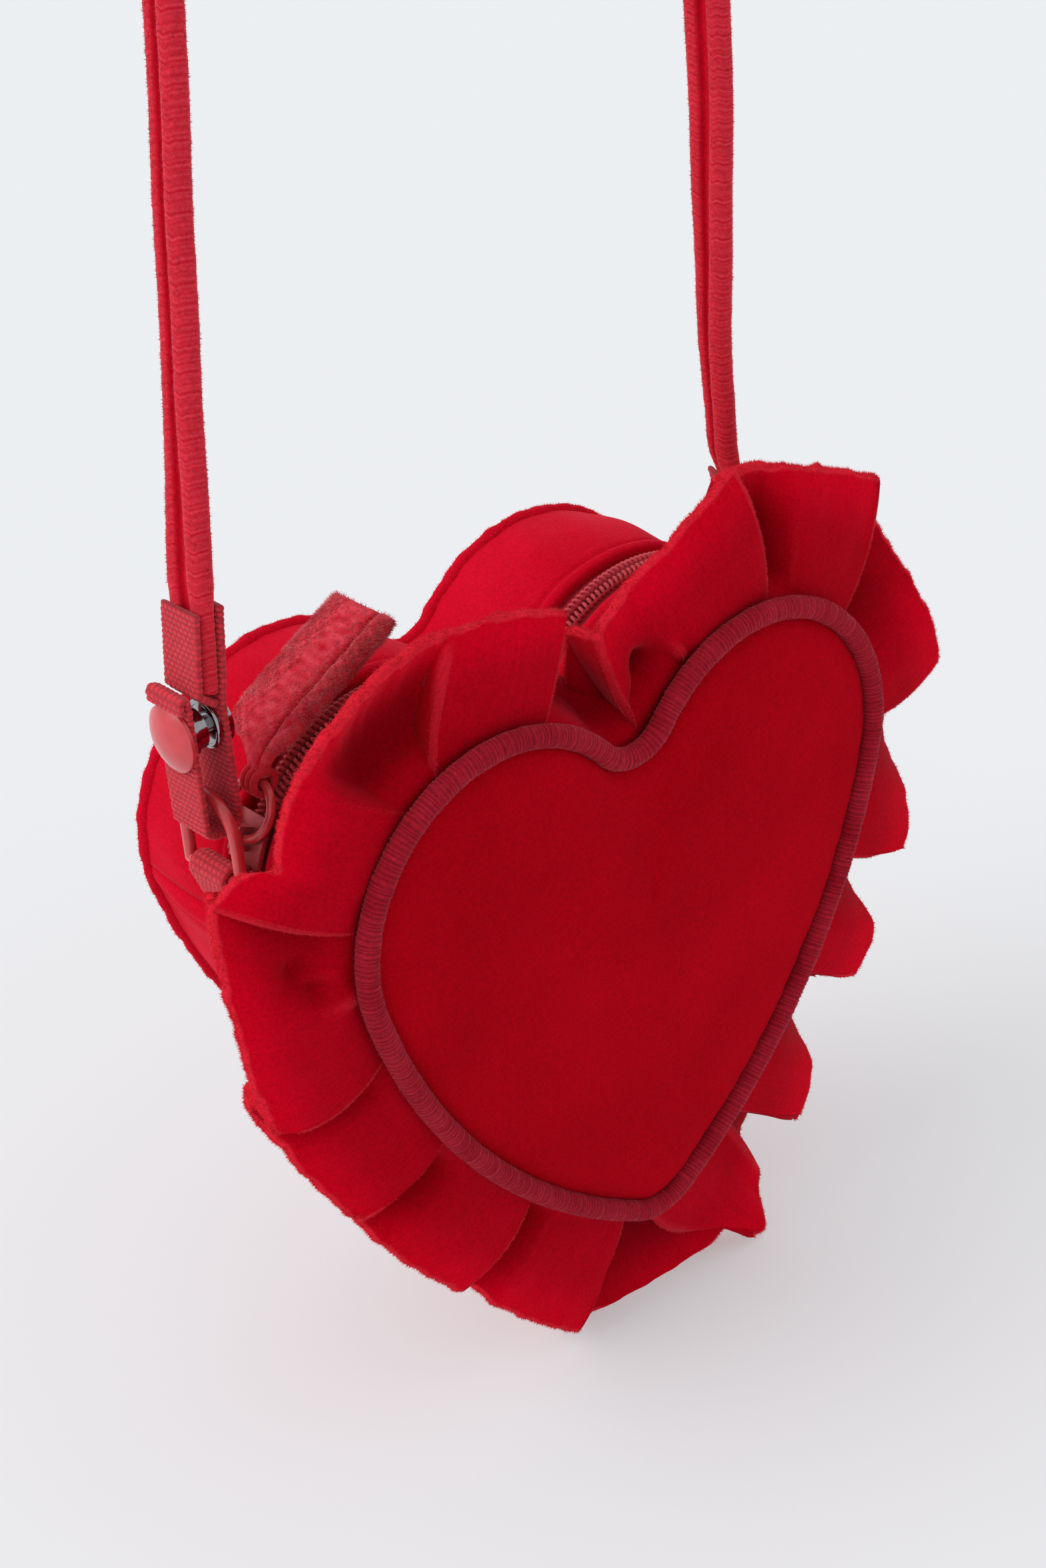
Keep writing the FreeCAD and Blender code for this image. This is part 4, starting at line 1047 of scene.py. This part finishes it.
def pull_tab():
    """Folded velvet: a loop on the ring that widens into a thick tab with a stuffed roll along its front."""
    path, eye = tab_path()
    along = unit(np.gradient(path, axis=0))
    over = np.stack([-along[:, 1], along[:, 0]], -1)
    way = run_along(path)[:, None]
    grown = ramp(way, *TAB_GROWTH)
    to_end = ((way - way[-1] + TAB_END_ROUND) / TAB_END_ROUND).clip(0)
    ending = np.sqrt(np.clip(1 - to_end ** 2, 0.02, 1))
    half = between(TAB_NECK_HALF, TAB_HALF, grown)
    thick = between(TAB_NECK_THICK, TAB_HALF_THICK, grown) * ending
    turn = full_turn(TAB_SIDES)[None, :]
    flat, tall = squared(np.cos(turn)), squared(np.sin(turn))
    in_groove = bump(flat, *TAB_GROOVE)
    roll = ridge(flat, *TAB_ROLL) * grown
    groove = TAB_GROOVE_DEPTH * in_groove * grown
    mean, sway = TAB_EDGE_SHARES
    y = half * flat * (mean + sway * waves(way, [5.1, 8.7], 51)) + TAB_SHIFT * grown
    crush = TAB_CRUSH[0] * waves(way + 2 * y, [3.3, 5.7, 9.1], 52)
    crush += TAB_CRUSH[1] * waves(y - way, [2.1, 3.9], 53)
    lift = thick * tall * (1 + roll - groove) + crush * grown
    points = in_space(path[:, None] + over[:, None] * lift[..., None], y)
    faces = grid_faces(len(path), TAB_SIDES, False, True) + end_caps(len(path), TAB_SIDES)
    loops = tab_loops(eye)
    rest = sum(len(tube_points) for tube_points, _ in loops)
    # Painted shade in the groove and painted highlight on crushed crowns; frost is partly crushed pile and
    # partly painted sheen on the crowns
    plain, dark, bright = TAB_PAINTED_LIGHT
    painted_light = plain - dark * in_groove * grown + bright * crush
    worn, on_crowns, off_groove = TAB_FROSTS
    frost_and_sheen = np.clip(worn + on_crowns * crush - off_groove * in_groove, 0, 1)
    made = piece("pull_tab_velvet", *merged([(points, faces)] + loops), "velvet_strap", "pull_tab",
                 shade=np.append(painted_light, np.ones(rest)), frost_and_sheen=np.append(frost_and_sheen, np.full(rest, TAB_LOOP_FROST)))
    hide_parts("pull_tab")
    grid_pile("pull_tab_pile", points[TAB_PILE_FROM:], TAB_TUFTS, TAB_TUFT, "frost_fuzz", "velvet_strap",
              "pull_tab")


# Strap and its webbing ends

FOLDS = {LEFT: (-70.4, 23.5), RIGHT: (62.8, 24.1)}
LEANS = {LEFT: 6.3, RIGHT: 2.2}
LINE_OUT = {LEFT: 1.3, RIGHT: -0.5}
STRAP_STARTS = {LEFT: 25.1, RIGHT: 9.6}
ARCH_Z = 166.0
ROLL_RADIUS = 2.2
ROLL_Y = 2.55
GROOVE_HALF = 0.95
WEBBING_HALF = 5.0
WEBBING = 1.5

# Tops of the webbing sewn over the strap's ends, and where the strap swells from its squashed section there
SEWN_TOPS = {LEFT: 40.0, RIGHT: 17.0}
SWELL_RISES = (-0.5, 4.0)
SQUASH_SHARE = 0.8

# Turn of the strap about its own line, in degrees: rises over the folds, and the turns there
TWIST_RISES = {LEFT: (40.0, 80.0), RIGHT: (18.0, 112.0)}
TWISTS = {LEFT: (5.0, -12.6), RIGHT: (28.0, -6.0)}
RIGHT_SHIFT = 3.4
RIGHT_SHIFT_RISES = (9.0, 24.0, 40.0, 110.0)

# Rises over which the right loop, sewn to the strap, takes up its turn above the ring's bow
LOOP_TURN_RISES = (5.0, 14.0)

# Where the arch turns from the left run to the right one, then the strap's steps, unevenness, painted light
# and shade on its ribs and groove, its frost (partly painted sheen) and pile
ARCH_TURN_SHARES = (0.35, 0.65)
ARCH_STEPS = 540
RUN_STEPS = {LEFT: 620, RIGHT: 660}
SECTION_STEPS = 44
ROLL_FROM = (0.9, 1.8)
STRAP_SWAY = 0.2
STRAP_UNEVEN = 0.03
STRAP_RIB_PAINTED_LIGHT = 0.16
STRAP_GROOVE_PAINTED_SHADE = (0.3, 0.9, 0.35)
STRAP_FROSTS = (0.34, 0.3)
STRAP_FREE_SHARE = 0.9
STRAP_TUFTS = 30000
STRAP_TUFT = (0.5, 0.12)


def strap_line(side, rise):
    """Place (x, z) on the strap's straight run, this far up from its fold."""
    lean = math.radians(LEANS[side])
    fold = FOLDS[side]
    start_x = fold[0] + side * LINE_OUT[side]
    return np.array([start_x - side * math.sin(lean) * rise, fold[1] + math.cos(lean) * rise])


def right_shift(rise):
    """How far the right run stands to the back at a rise over its fold."""
    near, full, fading, gone = RIGHT_SHIFT_RISES
    return RIGHT_SHIFT * ramp(rise, near, full) * (1 - ramp(rise, fading, gone))


def strap_path():
    """Line (x, z) of the strap, up from the left end, over the arch and down to the right end."""
    cosines = {side: math.cos(math.radians(LEANS[side])) for side in LEANS}
    level = {side: strap_line(side, (ARCH_Z - FOLDS[side][1]) / cosines[side])[0] for side in LEANS}
    weighed = level[RIGHT] * cosines[RIGHT] + level[LEFT] * cosines[LEFT]
    centre_x = weighed / (cosines[LEFT] + cosines[RIGHT])
    radius = (level[RIGHT] - centre_x) * cosines[RIGHT]
    angles = np.radians(np.linspace(180 - LEANS[LEFT], LEANS[RIGHT], ARCH_STEPS))
    arch = np.stack([centre_x + radius * np.cos(angles), ARCH_Z + radius * np.sin(angles)], -1)
    left = np.linspace(strap_line(LEFT, STRAP_STARTS[LEFT]), arch[0], RUN_STEPS[LEFT], endpoint=False)
    right = np.linspace(arch[-1], strap_line(RIGHT, STRAP_STARTS[RIGHT]), RUN_STEPS[RIGHT])[1:]
    return np.concatenate([left, arch, right])


def strap_section():
    """Places across half of the strap's section, and its half height there: two rolls and a groove."""
    across = np.sin(np.linspace(-math.pi / 2, math.pi / 2, SECTION_STEPS)) * (ROLL_Y + ROLL_RADIUS)
    height = np.sqrt(np.clip(ROLL_RADIUS ** 2 - (np.abs(across) - ROLL_Y) ** 2, 0.0, None))
    return across, np.maximum(height, np.where(np.abs(across) < ROLL_Y, GROOVE_HALF, 0.02))


def strap_twist(way, rises):
    """Turn of the strap about its own line, in radians, from the left run over the arch to the right one."""
    turned = {side: between(*TWISTS[side], ramp(rises[side], *TWIST_RISES[side])) for side in rises}
    turned[RIGHT] *= ramp(rises[RIGHT], *LOOP_TURN_RISES)
    over = ramp(way, *(share * way[-1] for share in ARCH_TURN_SHARES))
    return np.radians(turned[LEFT] * (1 - over) + turned[RIGHT] * over)[:, None]


def strap():
    """Flat velvet strap with two stuffed rolls and a groove, flattened where the webbing holds it."""
    path = strap_path()
    along = unit(np.gradient(path, axis=0))
    outward = np.stack([-along[:, 1], 0 * along[:, 0], along[:, 0]], -1)
    way = run_along(path)
    rises = {LEFT: STRAP_STARTS[LEFT] + way, RIGHT: STRAP_STARTS[RIGHT] + way[-1] - way}
    swells = [ramp(rises[side], *(SEWN_TOPS[side] + rise for rise in SWELL_RISES)) for side in rises]
    free = np.minimum(*swells)[:, None]
    twist = strap_twist(way, rises)
    across, height = strap_section()
    on_roll = ramp(np.abs(across), *ROLL_FROM)
    rib = waves(way[:, None] + 0.25 * np.sin(3 * across), [0.7, 0.85, 1.1, 1.6], 61)
    ripple = 1 + STRAP_UNEVEN * waves(way[:, None] + 1.5 * across, [3.7, 6.1, 9.7], 63)
    ripple += STRAP_UNEVEN * rib * on_roll
    lift = (height[None, :] * ripple * (SQUASH_SHARE + (1 - SQUASH_SHARE) * free))[..., None]
    wide = BACK_WAY * np.cos(twist) + outward * np.sin(twist)
    thick = outward * np.cos(twist) - BACK_WAY * np.sin(twist)
    middle = in_space(path, right_shift(rises[RIGHT]) + STRAP_SWAY * waves(way, [31.0, 53.0], 62))
    level = middle[:, None] + wide[:, None] * across[None, :, None]
    ring, faces = shell_mesh(level + thick[:, None] * lift, level - thick[:, None] * lift)
    # Painted light and shade on the ribs and painted shade down into the groove; frost on the rolls, partly
    # worn pile and partly painted sheen
    painted_light = 1 + STRAP_RIB_PAINTED_LIGHT * rib * on_roll - ridge(np.abs(across), *STRAP_GROOVE_PAINTED_SHADE)
    worn, on_ribs = STRAP_FROSTS
    frost_and_sheen = np.clip(worn + on_ribs * rib, 0, 1) * on_roll
    made = piece("strap_velvet", ring, faces, "velvet_strap", "strap",
                 shade=np.concatenate([painted_light, painted_light[:, ::-1]], 1),
                 frost_and_sheen=np.concatenate([frost_and_sheen, frost_and_sheen[:, ::-1]], 1))
    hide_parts("strap", "strap_fillers")
    free_rows = np.nonzero(free[:, 0] > STRAP_FREE_SHARE)[0]
    grid_pile("strap_pile", ring[free_rows[0]:free_rows[-1]], STRAP_TUFTS, STRAP_TUFT, "strap_fuzz",
              "velvet_strap", "strap")


WEAVE_ROW = 1.0
WEAVE_CELL = 1.25


def weave(way, across):
    """Share of full height on coarse woven webbing: rows of short crowns that step from row to row."""
    row = np.floor(way / WEAVE_ROW)
    rib = np.abs(np.sin(math.pi * way / WEAVE_ROW)) ** 0.7
    crowns = np.abs(np.sin(math.pi * (across / WEAVE_CELL + 0.5 * (row % 2)))) ** 0.8
    return rib * (0.45 + 0.55 * crowns)


def along_line(points, step):
    """A line (x, z) laid out again in even steps."""
    points = np.asarray(points, float)
    way = run_along(points)
    at = np.linspace(0, way[-1], max(3, int(way[-1] / step)))
    return np.stack([np.interp(at, way, points[:, k]) for k in range(2)], -1), at


WEAVE_STEP = 0.125
WEAVE_HEIGHT = 0.34
WEAVE_LEVEL_SHARE = 0.8
WEAVE_EDGE_SHARE = 0.35
WEAVE_FRAY = 0.12
# Painted shade: the weave darker in its dips, lighter on its crowns
WEAVE_PAINTED_SHADE = (0.5, 0.58)


def webbing_mesh(line):
    """Closed strip of webbing along a line (x, z), and the painted shade in the dips of its weave, before it
    is set in place.
    """
    path, way = along_line(line, WEAVE_STEP)
    along = unit(np.gradient(path, axis=0))
    normal = np.stack([-along[:, 1], along[:, 0]], -1)
    across = np.linspace(-WEBBING_HALF, WEBBING_HALF, int(2 * WEBBING_HALF / WEAVE_STEP) + 1)
    edge = (1 - np.abs(across / WEBBING_HALF) ** 10) ** 0.5
    height = weave(way[:, None], across[None, :])
    grown = WEBBING / 2 + WEAVE_HEIGHT * (height - WEAVE_LEVEL_SHARE)
    lift = (grown * (WEAVE_EDGE_SHARE + (1 - WEAVE_EDGE_SHARE) * edge[None, :]))[..., None]
    y = across[None, :] + WEAVE_FRAY * waves(way, [1.1, 2.3, 6.0], 71)[:, None]
    outer = in_space(path[:, None] + normal[:, None] * lift, y)
    inner = in_space(path[:, None] - normal[:, None] * lift, y)
    ring, faces = shell_mesh(outer, inner)
    low, rise = WEAVE_PAINTED_SHADE
    return ring, faces, low + rise * np.concatenate([height, height[:, ::-1]], 1)


def joined_webbing(lines):
    """Several strips of webbing as one mesh."""
    strips = [webbing_mesh(line) for line in lines]
    points, faces = merged([strip[:2] for strip in strips])
    return points, faces, np.concatenate([strip[2].ravel() for strip in strips])


def on_strap_end(points, faces, side):
    """A mesh of an upright strap end, +X outwards from its fold's middle, set at a side's place."""
    x, y, z = np.reshape(points, (-1, 3)).T
    placed = np.stack([FOLDS[side][0] + side * x, y, FOLDS[side][1] + z], -1)
    return placed, faces if side == RIGHT else [face[::-1] for face in faces]


def beside_strap(side, rise, out):
    """Place (x, z) in a strap end's own frame, out from the strap's line at a rise."""
    lean = math.tan(math.radians(LEANS[side]))
    return (LINE_OUT[side] - lean * rise + out, rise)


FOLD_HALF = 3.5
FOLD_DROP = 1.9
LOOP_HALF = 3.3
LOOP_DROP = 2.6
SEWN_OUT = 2.5
SEWN_IN = -2.5

# Feet of the seams on the strap, and the bends (x, z) of the webbing between them and its folds
LEG_FOOT = 27.0
LEG_BENDS = [(-3.45, 22.6), (-3.45, 9.0)]
PATCH_FOOT = 25.4
PATCH_BENDS = [(-0.6, 23.8), (-1.95, 22.9)]
LOOP_FOOT = 8.0
LOOP_INNER = (-3.3, 3.0)
LOOP_OUTER = (3.1, 3.0)


def sewn(side, foot, out):
    """Two places (x, z) on the webbing sewn beside the strap: its top and its foot."""
    return [beside_strap(side, rise, out) for rise in (SEWN_TOPS[side], foot)]


def fold_arc(half, drop):
    """Bottom of a webbing fold, from its inner to its outer leg."""
    return [(half * math.cos(a), drop * math.sin(a)) for a in np.linspace(math.pi, 2 * math.pi, 40)]


def strap_end_left():
    """Webbing leg, its fold under the ring's bow, and the patch on the outside of the strap's end."""
    leg = sewn(LEFT, LEG_FOOT, SEWN_IN) + LEG_BENDS + fold_arc(FOLD_HALF, FOLD_DROP)
    patch = sewn(LEFT, PATCH_FOOT, SEWN_OUT) + PATCH_BENDS
    points, faces, shade = joined_webbing([leg, patch])
    made = piece("strap_end_left_webbing", *on_strap_end(points, faces, LEFT), "webbing", "strap",
                 shade=shade)
    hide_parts("strap_end_left")


SNAP_RISE = 17.4
SNAP_RIM = 4.1
SNAP_RIM_WIRE = 0.55
SNAP_RIM_OUT = -2.1
SNAP_RIM_STEPS = 72
SNAP_RIM_SIDES = 12


def snap_rim():
    """Chrome rim round the snap's stud."""
    turn = full_turn(SNAP_RIM_STEPS)
    y, z = SNAP_RIM * np.cos(turn), SNAP_RISE + SNAP_RIM * np.sin(turn)
    rim = np.stack([0 * turn + SNAP_RIM_OUT, y, z], -1)
    points, faces = tube(rim, SNAP_RIM_WIRE, SNAP_RIM_SIDES, True)
    piece("snap_stud_rim", *on_strap_end(points, faces, LEFT), "snap_chrome", "strap")


def with_strap(points):
    """Points of the right webbing loop, turned and moved with the strap that is sewn into it."""
    x, y, rise = np.reshape(points, (-1, 3)).T
    line, _ = beside_strap(RIGHT, rise, 0.0)
    turn = math.radians(TWISTS[RIGHT][0]) * ramp(rise, *LOOP_TURN_RISES)
    out = (x - line) * np.cos(turn) + y * np.sin(turn)
    back = y * np.cos(turn) - (x - line) * np.sin(turn) + right_shift(rise)
    return np.stack([line + out, back, rise], -1)


def strap_end_right():
    """Webbing loop through the right ring, sewn to both sides of the strap's end."""
    inner = sewn(RIGHT, LOOP_FOOT, SEWN_IN) + [LOOP_INNER]
    outer = [LOOP_OUTER] + sewn(RIGHT, LOOP_FOOT, SEWN_OUT)[::-1]
    points, faces, shade = webbing_mesh(inner + fold_arc(LOOP_HALF, LOOP_DROP) + outer)
    placed = on_strap_end(with_strap(points), faces, RIGHT)
    made = piece("strap_end_right_webbing", *placed, "webbing", "strap", shade=shade)
    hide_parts("strap_end_right")


FLAP_RISE = 26.5
LIP_RADIUS = 0.75
LIP_DROP = 1.6


def snap_flap():
    """Outer layer, fixed in place here, with its free end turned into a lip; on the purse it bends at the
    fold when the snap is opened.
    """
    lip_z = FLAP_RISE - LIP_RADIUS - WEBBING / 2
    lip = [(FOLD_HALF + LIP_RADIUS * (1 - math.cos(a)), lip_z + LIP_RADIUS * math.sin(a))
           for a in np.linspace(0, math.pi, 16)]
    line = [(FOLD_HALF, 0.0)] + lip + [(FOLD_HALF + 2 * LIP_RADIUS, lip_z - LIP_DROP)]
    points, faces, shade = webbing_mesh(line)
    made = piece("snap_flap_webbing", *on_strap_end(points, faces, LEFT), "webbing", shade=shade)
    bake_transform(made)
    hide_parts("snap_flap")


RING_BARS = {LEFT: (-70.4, 12.0), RIGHT: (67.055, 12.37)}
LABELS = {LEFT: "left", RIGHT: "right"}
TAB_ROOT = (66.2, -2.7)
TAB_ROOT_HALF = 0.85
BAR_LOOP = 2.03


def ring_tab(side):
    """Webbing loop round a ring's bar, sewn into the gusset's seam."""
    bar = np.array(RING_BARS[side])
    root = np.array([side * TAB_ROOT[0], TAB_ROOT[1]])
    way = (bar - root) / np.linalg.norm(bar - root)
    across = np.array([-way[1], way[0]])
    loop = [bar + BAR_LOOP * (across * math.cos(a) + way * math.sin(a)) for a in np.linspace(0, math.pi, 30)]
    line = [root + across * TAB_ROOT_HALF] + loop + [root - across * TAB_ROOT_HALF]
    points, faces, shade = webbing_mesh(line)
    made = piece(f"ring_tab_{LABELS[side]}_webbing", points, faces, "webbing", "bag", shade=shade)
    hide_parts(f"ring_tab_{LABELS[side]}")


# Metal

METAL_SLOTS = {
    "zip_slider": "zip_metal", "zip_end_stops": "zip_metal", "pull_ring": "red_enamel",
    "d_ring_left": "red_enamel", "d_ring_right": "red_enamel", "snap_cap": "red_enamel",
    "snap_socket": "snap_chrome", "snap_stud": "snap_chrome", "snap_post": "snap_chrome",
}
METAL_EDGE = 0.25


def metal():
    """Looks and softened edges for the nodes that are shown as they are."""
    for node, slot in METAL_SLOTS.items():
        solid = frame["nodes"][node]
        solid.data.materials.clear()
        solid.data.materials.append(MATERIALS[slot])
        soft = solid.modifiers.new("edges", "BEVEL")
        soft.width = METAL_EDGE * MM
        soft.segments = 2
        soft.limit_method = "ANGLE"


# Pile

def ruffle_pile(grid, out_way, backward):
    """Fuzz along the folded outer edge of the ruffle."""
    edge = grid[:, -1]
    i = rng.integers(0, len(edge), RUFFLE_TUFTS)
    turn = rng.normal(0, RUFFLE_TUFT_SPREAD, RUFFLE_TUFTS)[:, None]
    ways = out_way[i, -1] * np.cos(turn) + backward[i, -1] * np.sin(turn)
    slide = rng.uniform(0, 1, RUFFLE_TUFTS)[:, None]
    roots = edge[i] * (1 - slide) + edge[(i + 1) % len(edge)] * slide
    roots += ways * (RUFFLE_HALF_EDGE - PILE_ROOTED_AT_FOLDS)
    return pile("ruffle_pile", roots, ways, RUFFLE_TUFT, "ruffle_fuzz", "velvet_ruffle", "bag")


def ridge_pile(grid, backward, frost_and_sheen):
    """Fuzz that stands up along the ruffle's folded ridges."""
    chance = frost_and_sheen.ravel() / frost_and_sheen.sum()
    i, j = np.unravel_index(rng.choice(frost_and_sheen.size, RIDGE_TUFTS, p=chance), frost_and_sheen.shape)
    slide = rng.uniform(0, 1, RIDGE_TUFTS)[:, None]
    after = np.minimum(j + 1, RUFFLE_ROWS - 1)
    half = RUFFLE_HALF_ROOT + (RUFFLE_HALF_EDGE - RUFFLE_HALF_ROOT) * j[:, None] / (RUFFLE_ROWS - 1)
    roots = grid[i, j] * (1 - slide) + grid[i, after] * slide
    roots -= backward[i, j] * (half - PILE_ROOTED_AT_FOLDS)
    ways = -backward[i, j]
    return pile("ruffle_ridge_pile", roots, ways, RIDGE_TUFT, "ruffle_fuzz", "velvet_ruffle", "bag")


# Camera, light and floor

CAMERA_PLACE = (-281.9, -340.9, 259.8)
CAMERA_TURN = (-39.67, 30.62, -4.67)
CAMERA_LENS = 61.25
SENSOR_WIDTH = 36.0
FLOOR_HALF = 6.0
FLOOR_GAP = 0.001
FLOOR_COLOUR = srgb(198, 200, 203)
FLOOR_GLOW = 0.3
SKY_COLOUR = (0.98, 0.99, 1.0, 1.0)
SKY_STRENGTH = 0.74
SUN_FROM = (-0.7, 0.3, 0.65)
SUN_SPREAD = 50.0
SUN_STRENGTH = 1.2


def camera():
    turn, rise, roll = (math.radians(angle) for angle in CAMERA_TURN)
    back = Vector((math.sin(turn) * math.cos(rise), -math.cos(turn) * math.cos(rise), math.sin(rise)))
    right = (-back).cross(Vector((0, 0, 1))).normalized()
    up = right.cross(-back)
    right, up = right * math.cos(roll) + up * math.sin(roll), up * math.cos(roll) - right * math.sin(roll)
    data = bpy.data.cameras.new("camera")
    data.lens = CAMERA_LENS
    data.sensor_width = SENSOR_WIDTH
    data.clip_start = 0.01
    made = bpy.data.objects.new("camera", data)
    turned = Matrix((right, up, back)).transposed().to_4x4()
    made.matrix_world = Matrix.Translation(Vector(to_row(CAMERA_PLACE))) @ turned
    bpy.context.scene.collection.objects.link(made)
    bpy.context.scene.camera = made


def pale_floor():
    """Pale floor under the purse, which glows a little."""
    low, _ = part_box("ruffle")
    level = low.z - FLOOR_GAP
    mesh = bpy.data.meshes.new("floor")
    corners = [(x * FLOOR_HALF, y * FLOOR_HALF, level) for x, y in ((-1, -1), (1, -1), (1, 1), (-1, 1))]
    mesh.from_pydata(corners, [], [(0, 1, 2, 3)])
    material, _, shader = new_material("floor")
    set_inputs(shader, {"Base Color": FLOOR_COLOUR, "Emission Color": SKY_COLOUR,
                        "Emission Strength": FLOOR_GLOW, "Roughness": 1.0, "Specular IOR Level": 0.0})
    mesh.materials.append(material)
    floor = bpy.data.objects.new("floor", mesh)
    bpy.context.scene.collection.objects.link(floor)


def daylight():
    """Even light from all round and a wide, soft lamp from the upper left."""
    world = bpy.data.worlds.new("world")
    bpy.context.scene.world = world
    world.use_nodes = True
    set_inputs(world.node_tree.nodes["Background"], {"Color": SKY_COLOUR, "Strength": SKY_STRENGTH})
    data = bpy.data.lights.new("window", "SUN")
    data.energy = SUN_STRENGTH
    data.angle = math.radians(SUN_SPREAD)
    made = bpy.data.objects.new("window", data)
    made.rotation_mode = "QUATERNION"
    made.rotation_quaternion = (-Vector(SUN_FROM)).to_track_quat("-Z", "Y")
    bpy.context.scene.collection.objects.link(made)


front_panel()
back_panel()
piping()
ruffle_made, ruffle_grid, ruffle_out, ruffle_back, ruffle_ridge_sheen = ruffle()
gusset()
back_welt()
for zip_side, zip_label in ((LEFT, "front"), (RIGHT, "back")):
    zip_tape(zip_side, zip_label)
    zip_coil(zip_side, zip_label)
linings()
pull_tab()
strap()
strap_end_left()
snap_rim()
strap_end_right()
snap_flap()
for tab_side in (LEFT, RIGHT):
    ring_tab(tab_side)
metal()
fuzz = ruffle_pile(ruffle_grid, ruffle_out, ruffle_back)
ridges = ridge_pile(ruffle_grid, ruffle_back, ruffle_ridge_sheen)

camera()
pale_floor()
daylight()
bpy.context.scene.view_settings.view_transform = "Standard"
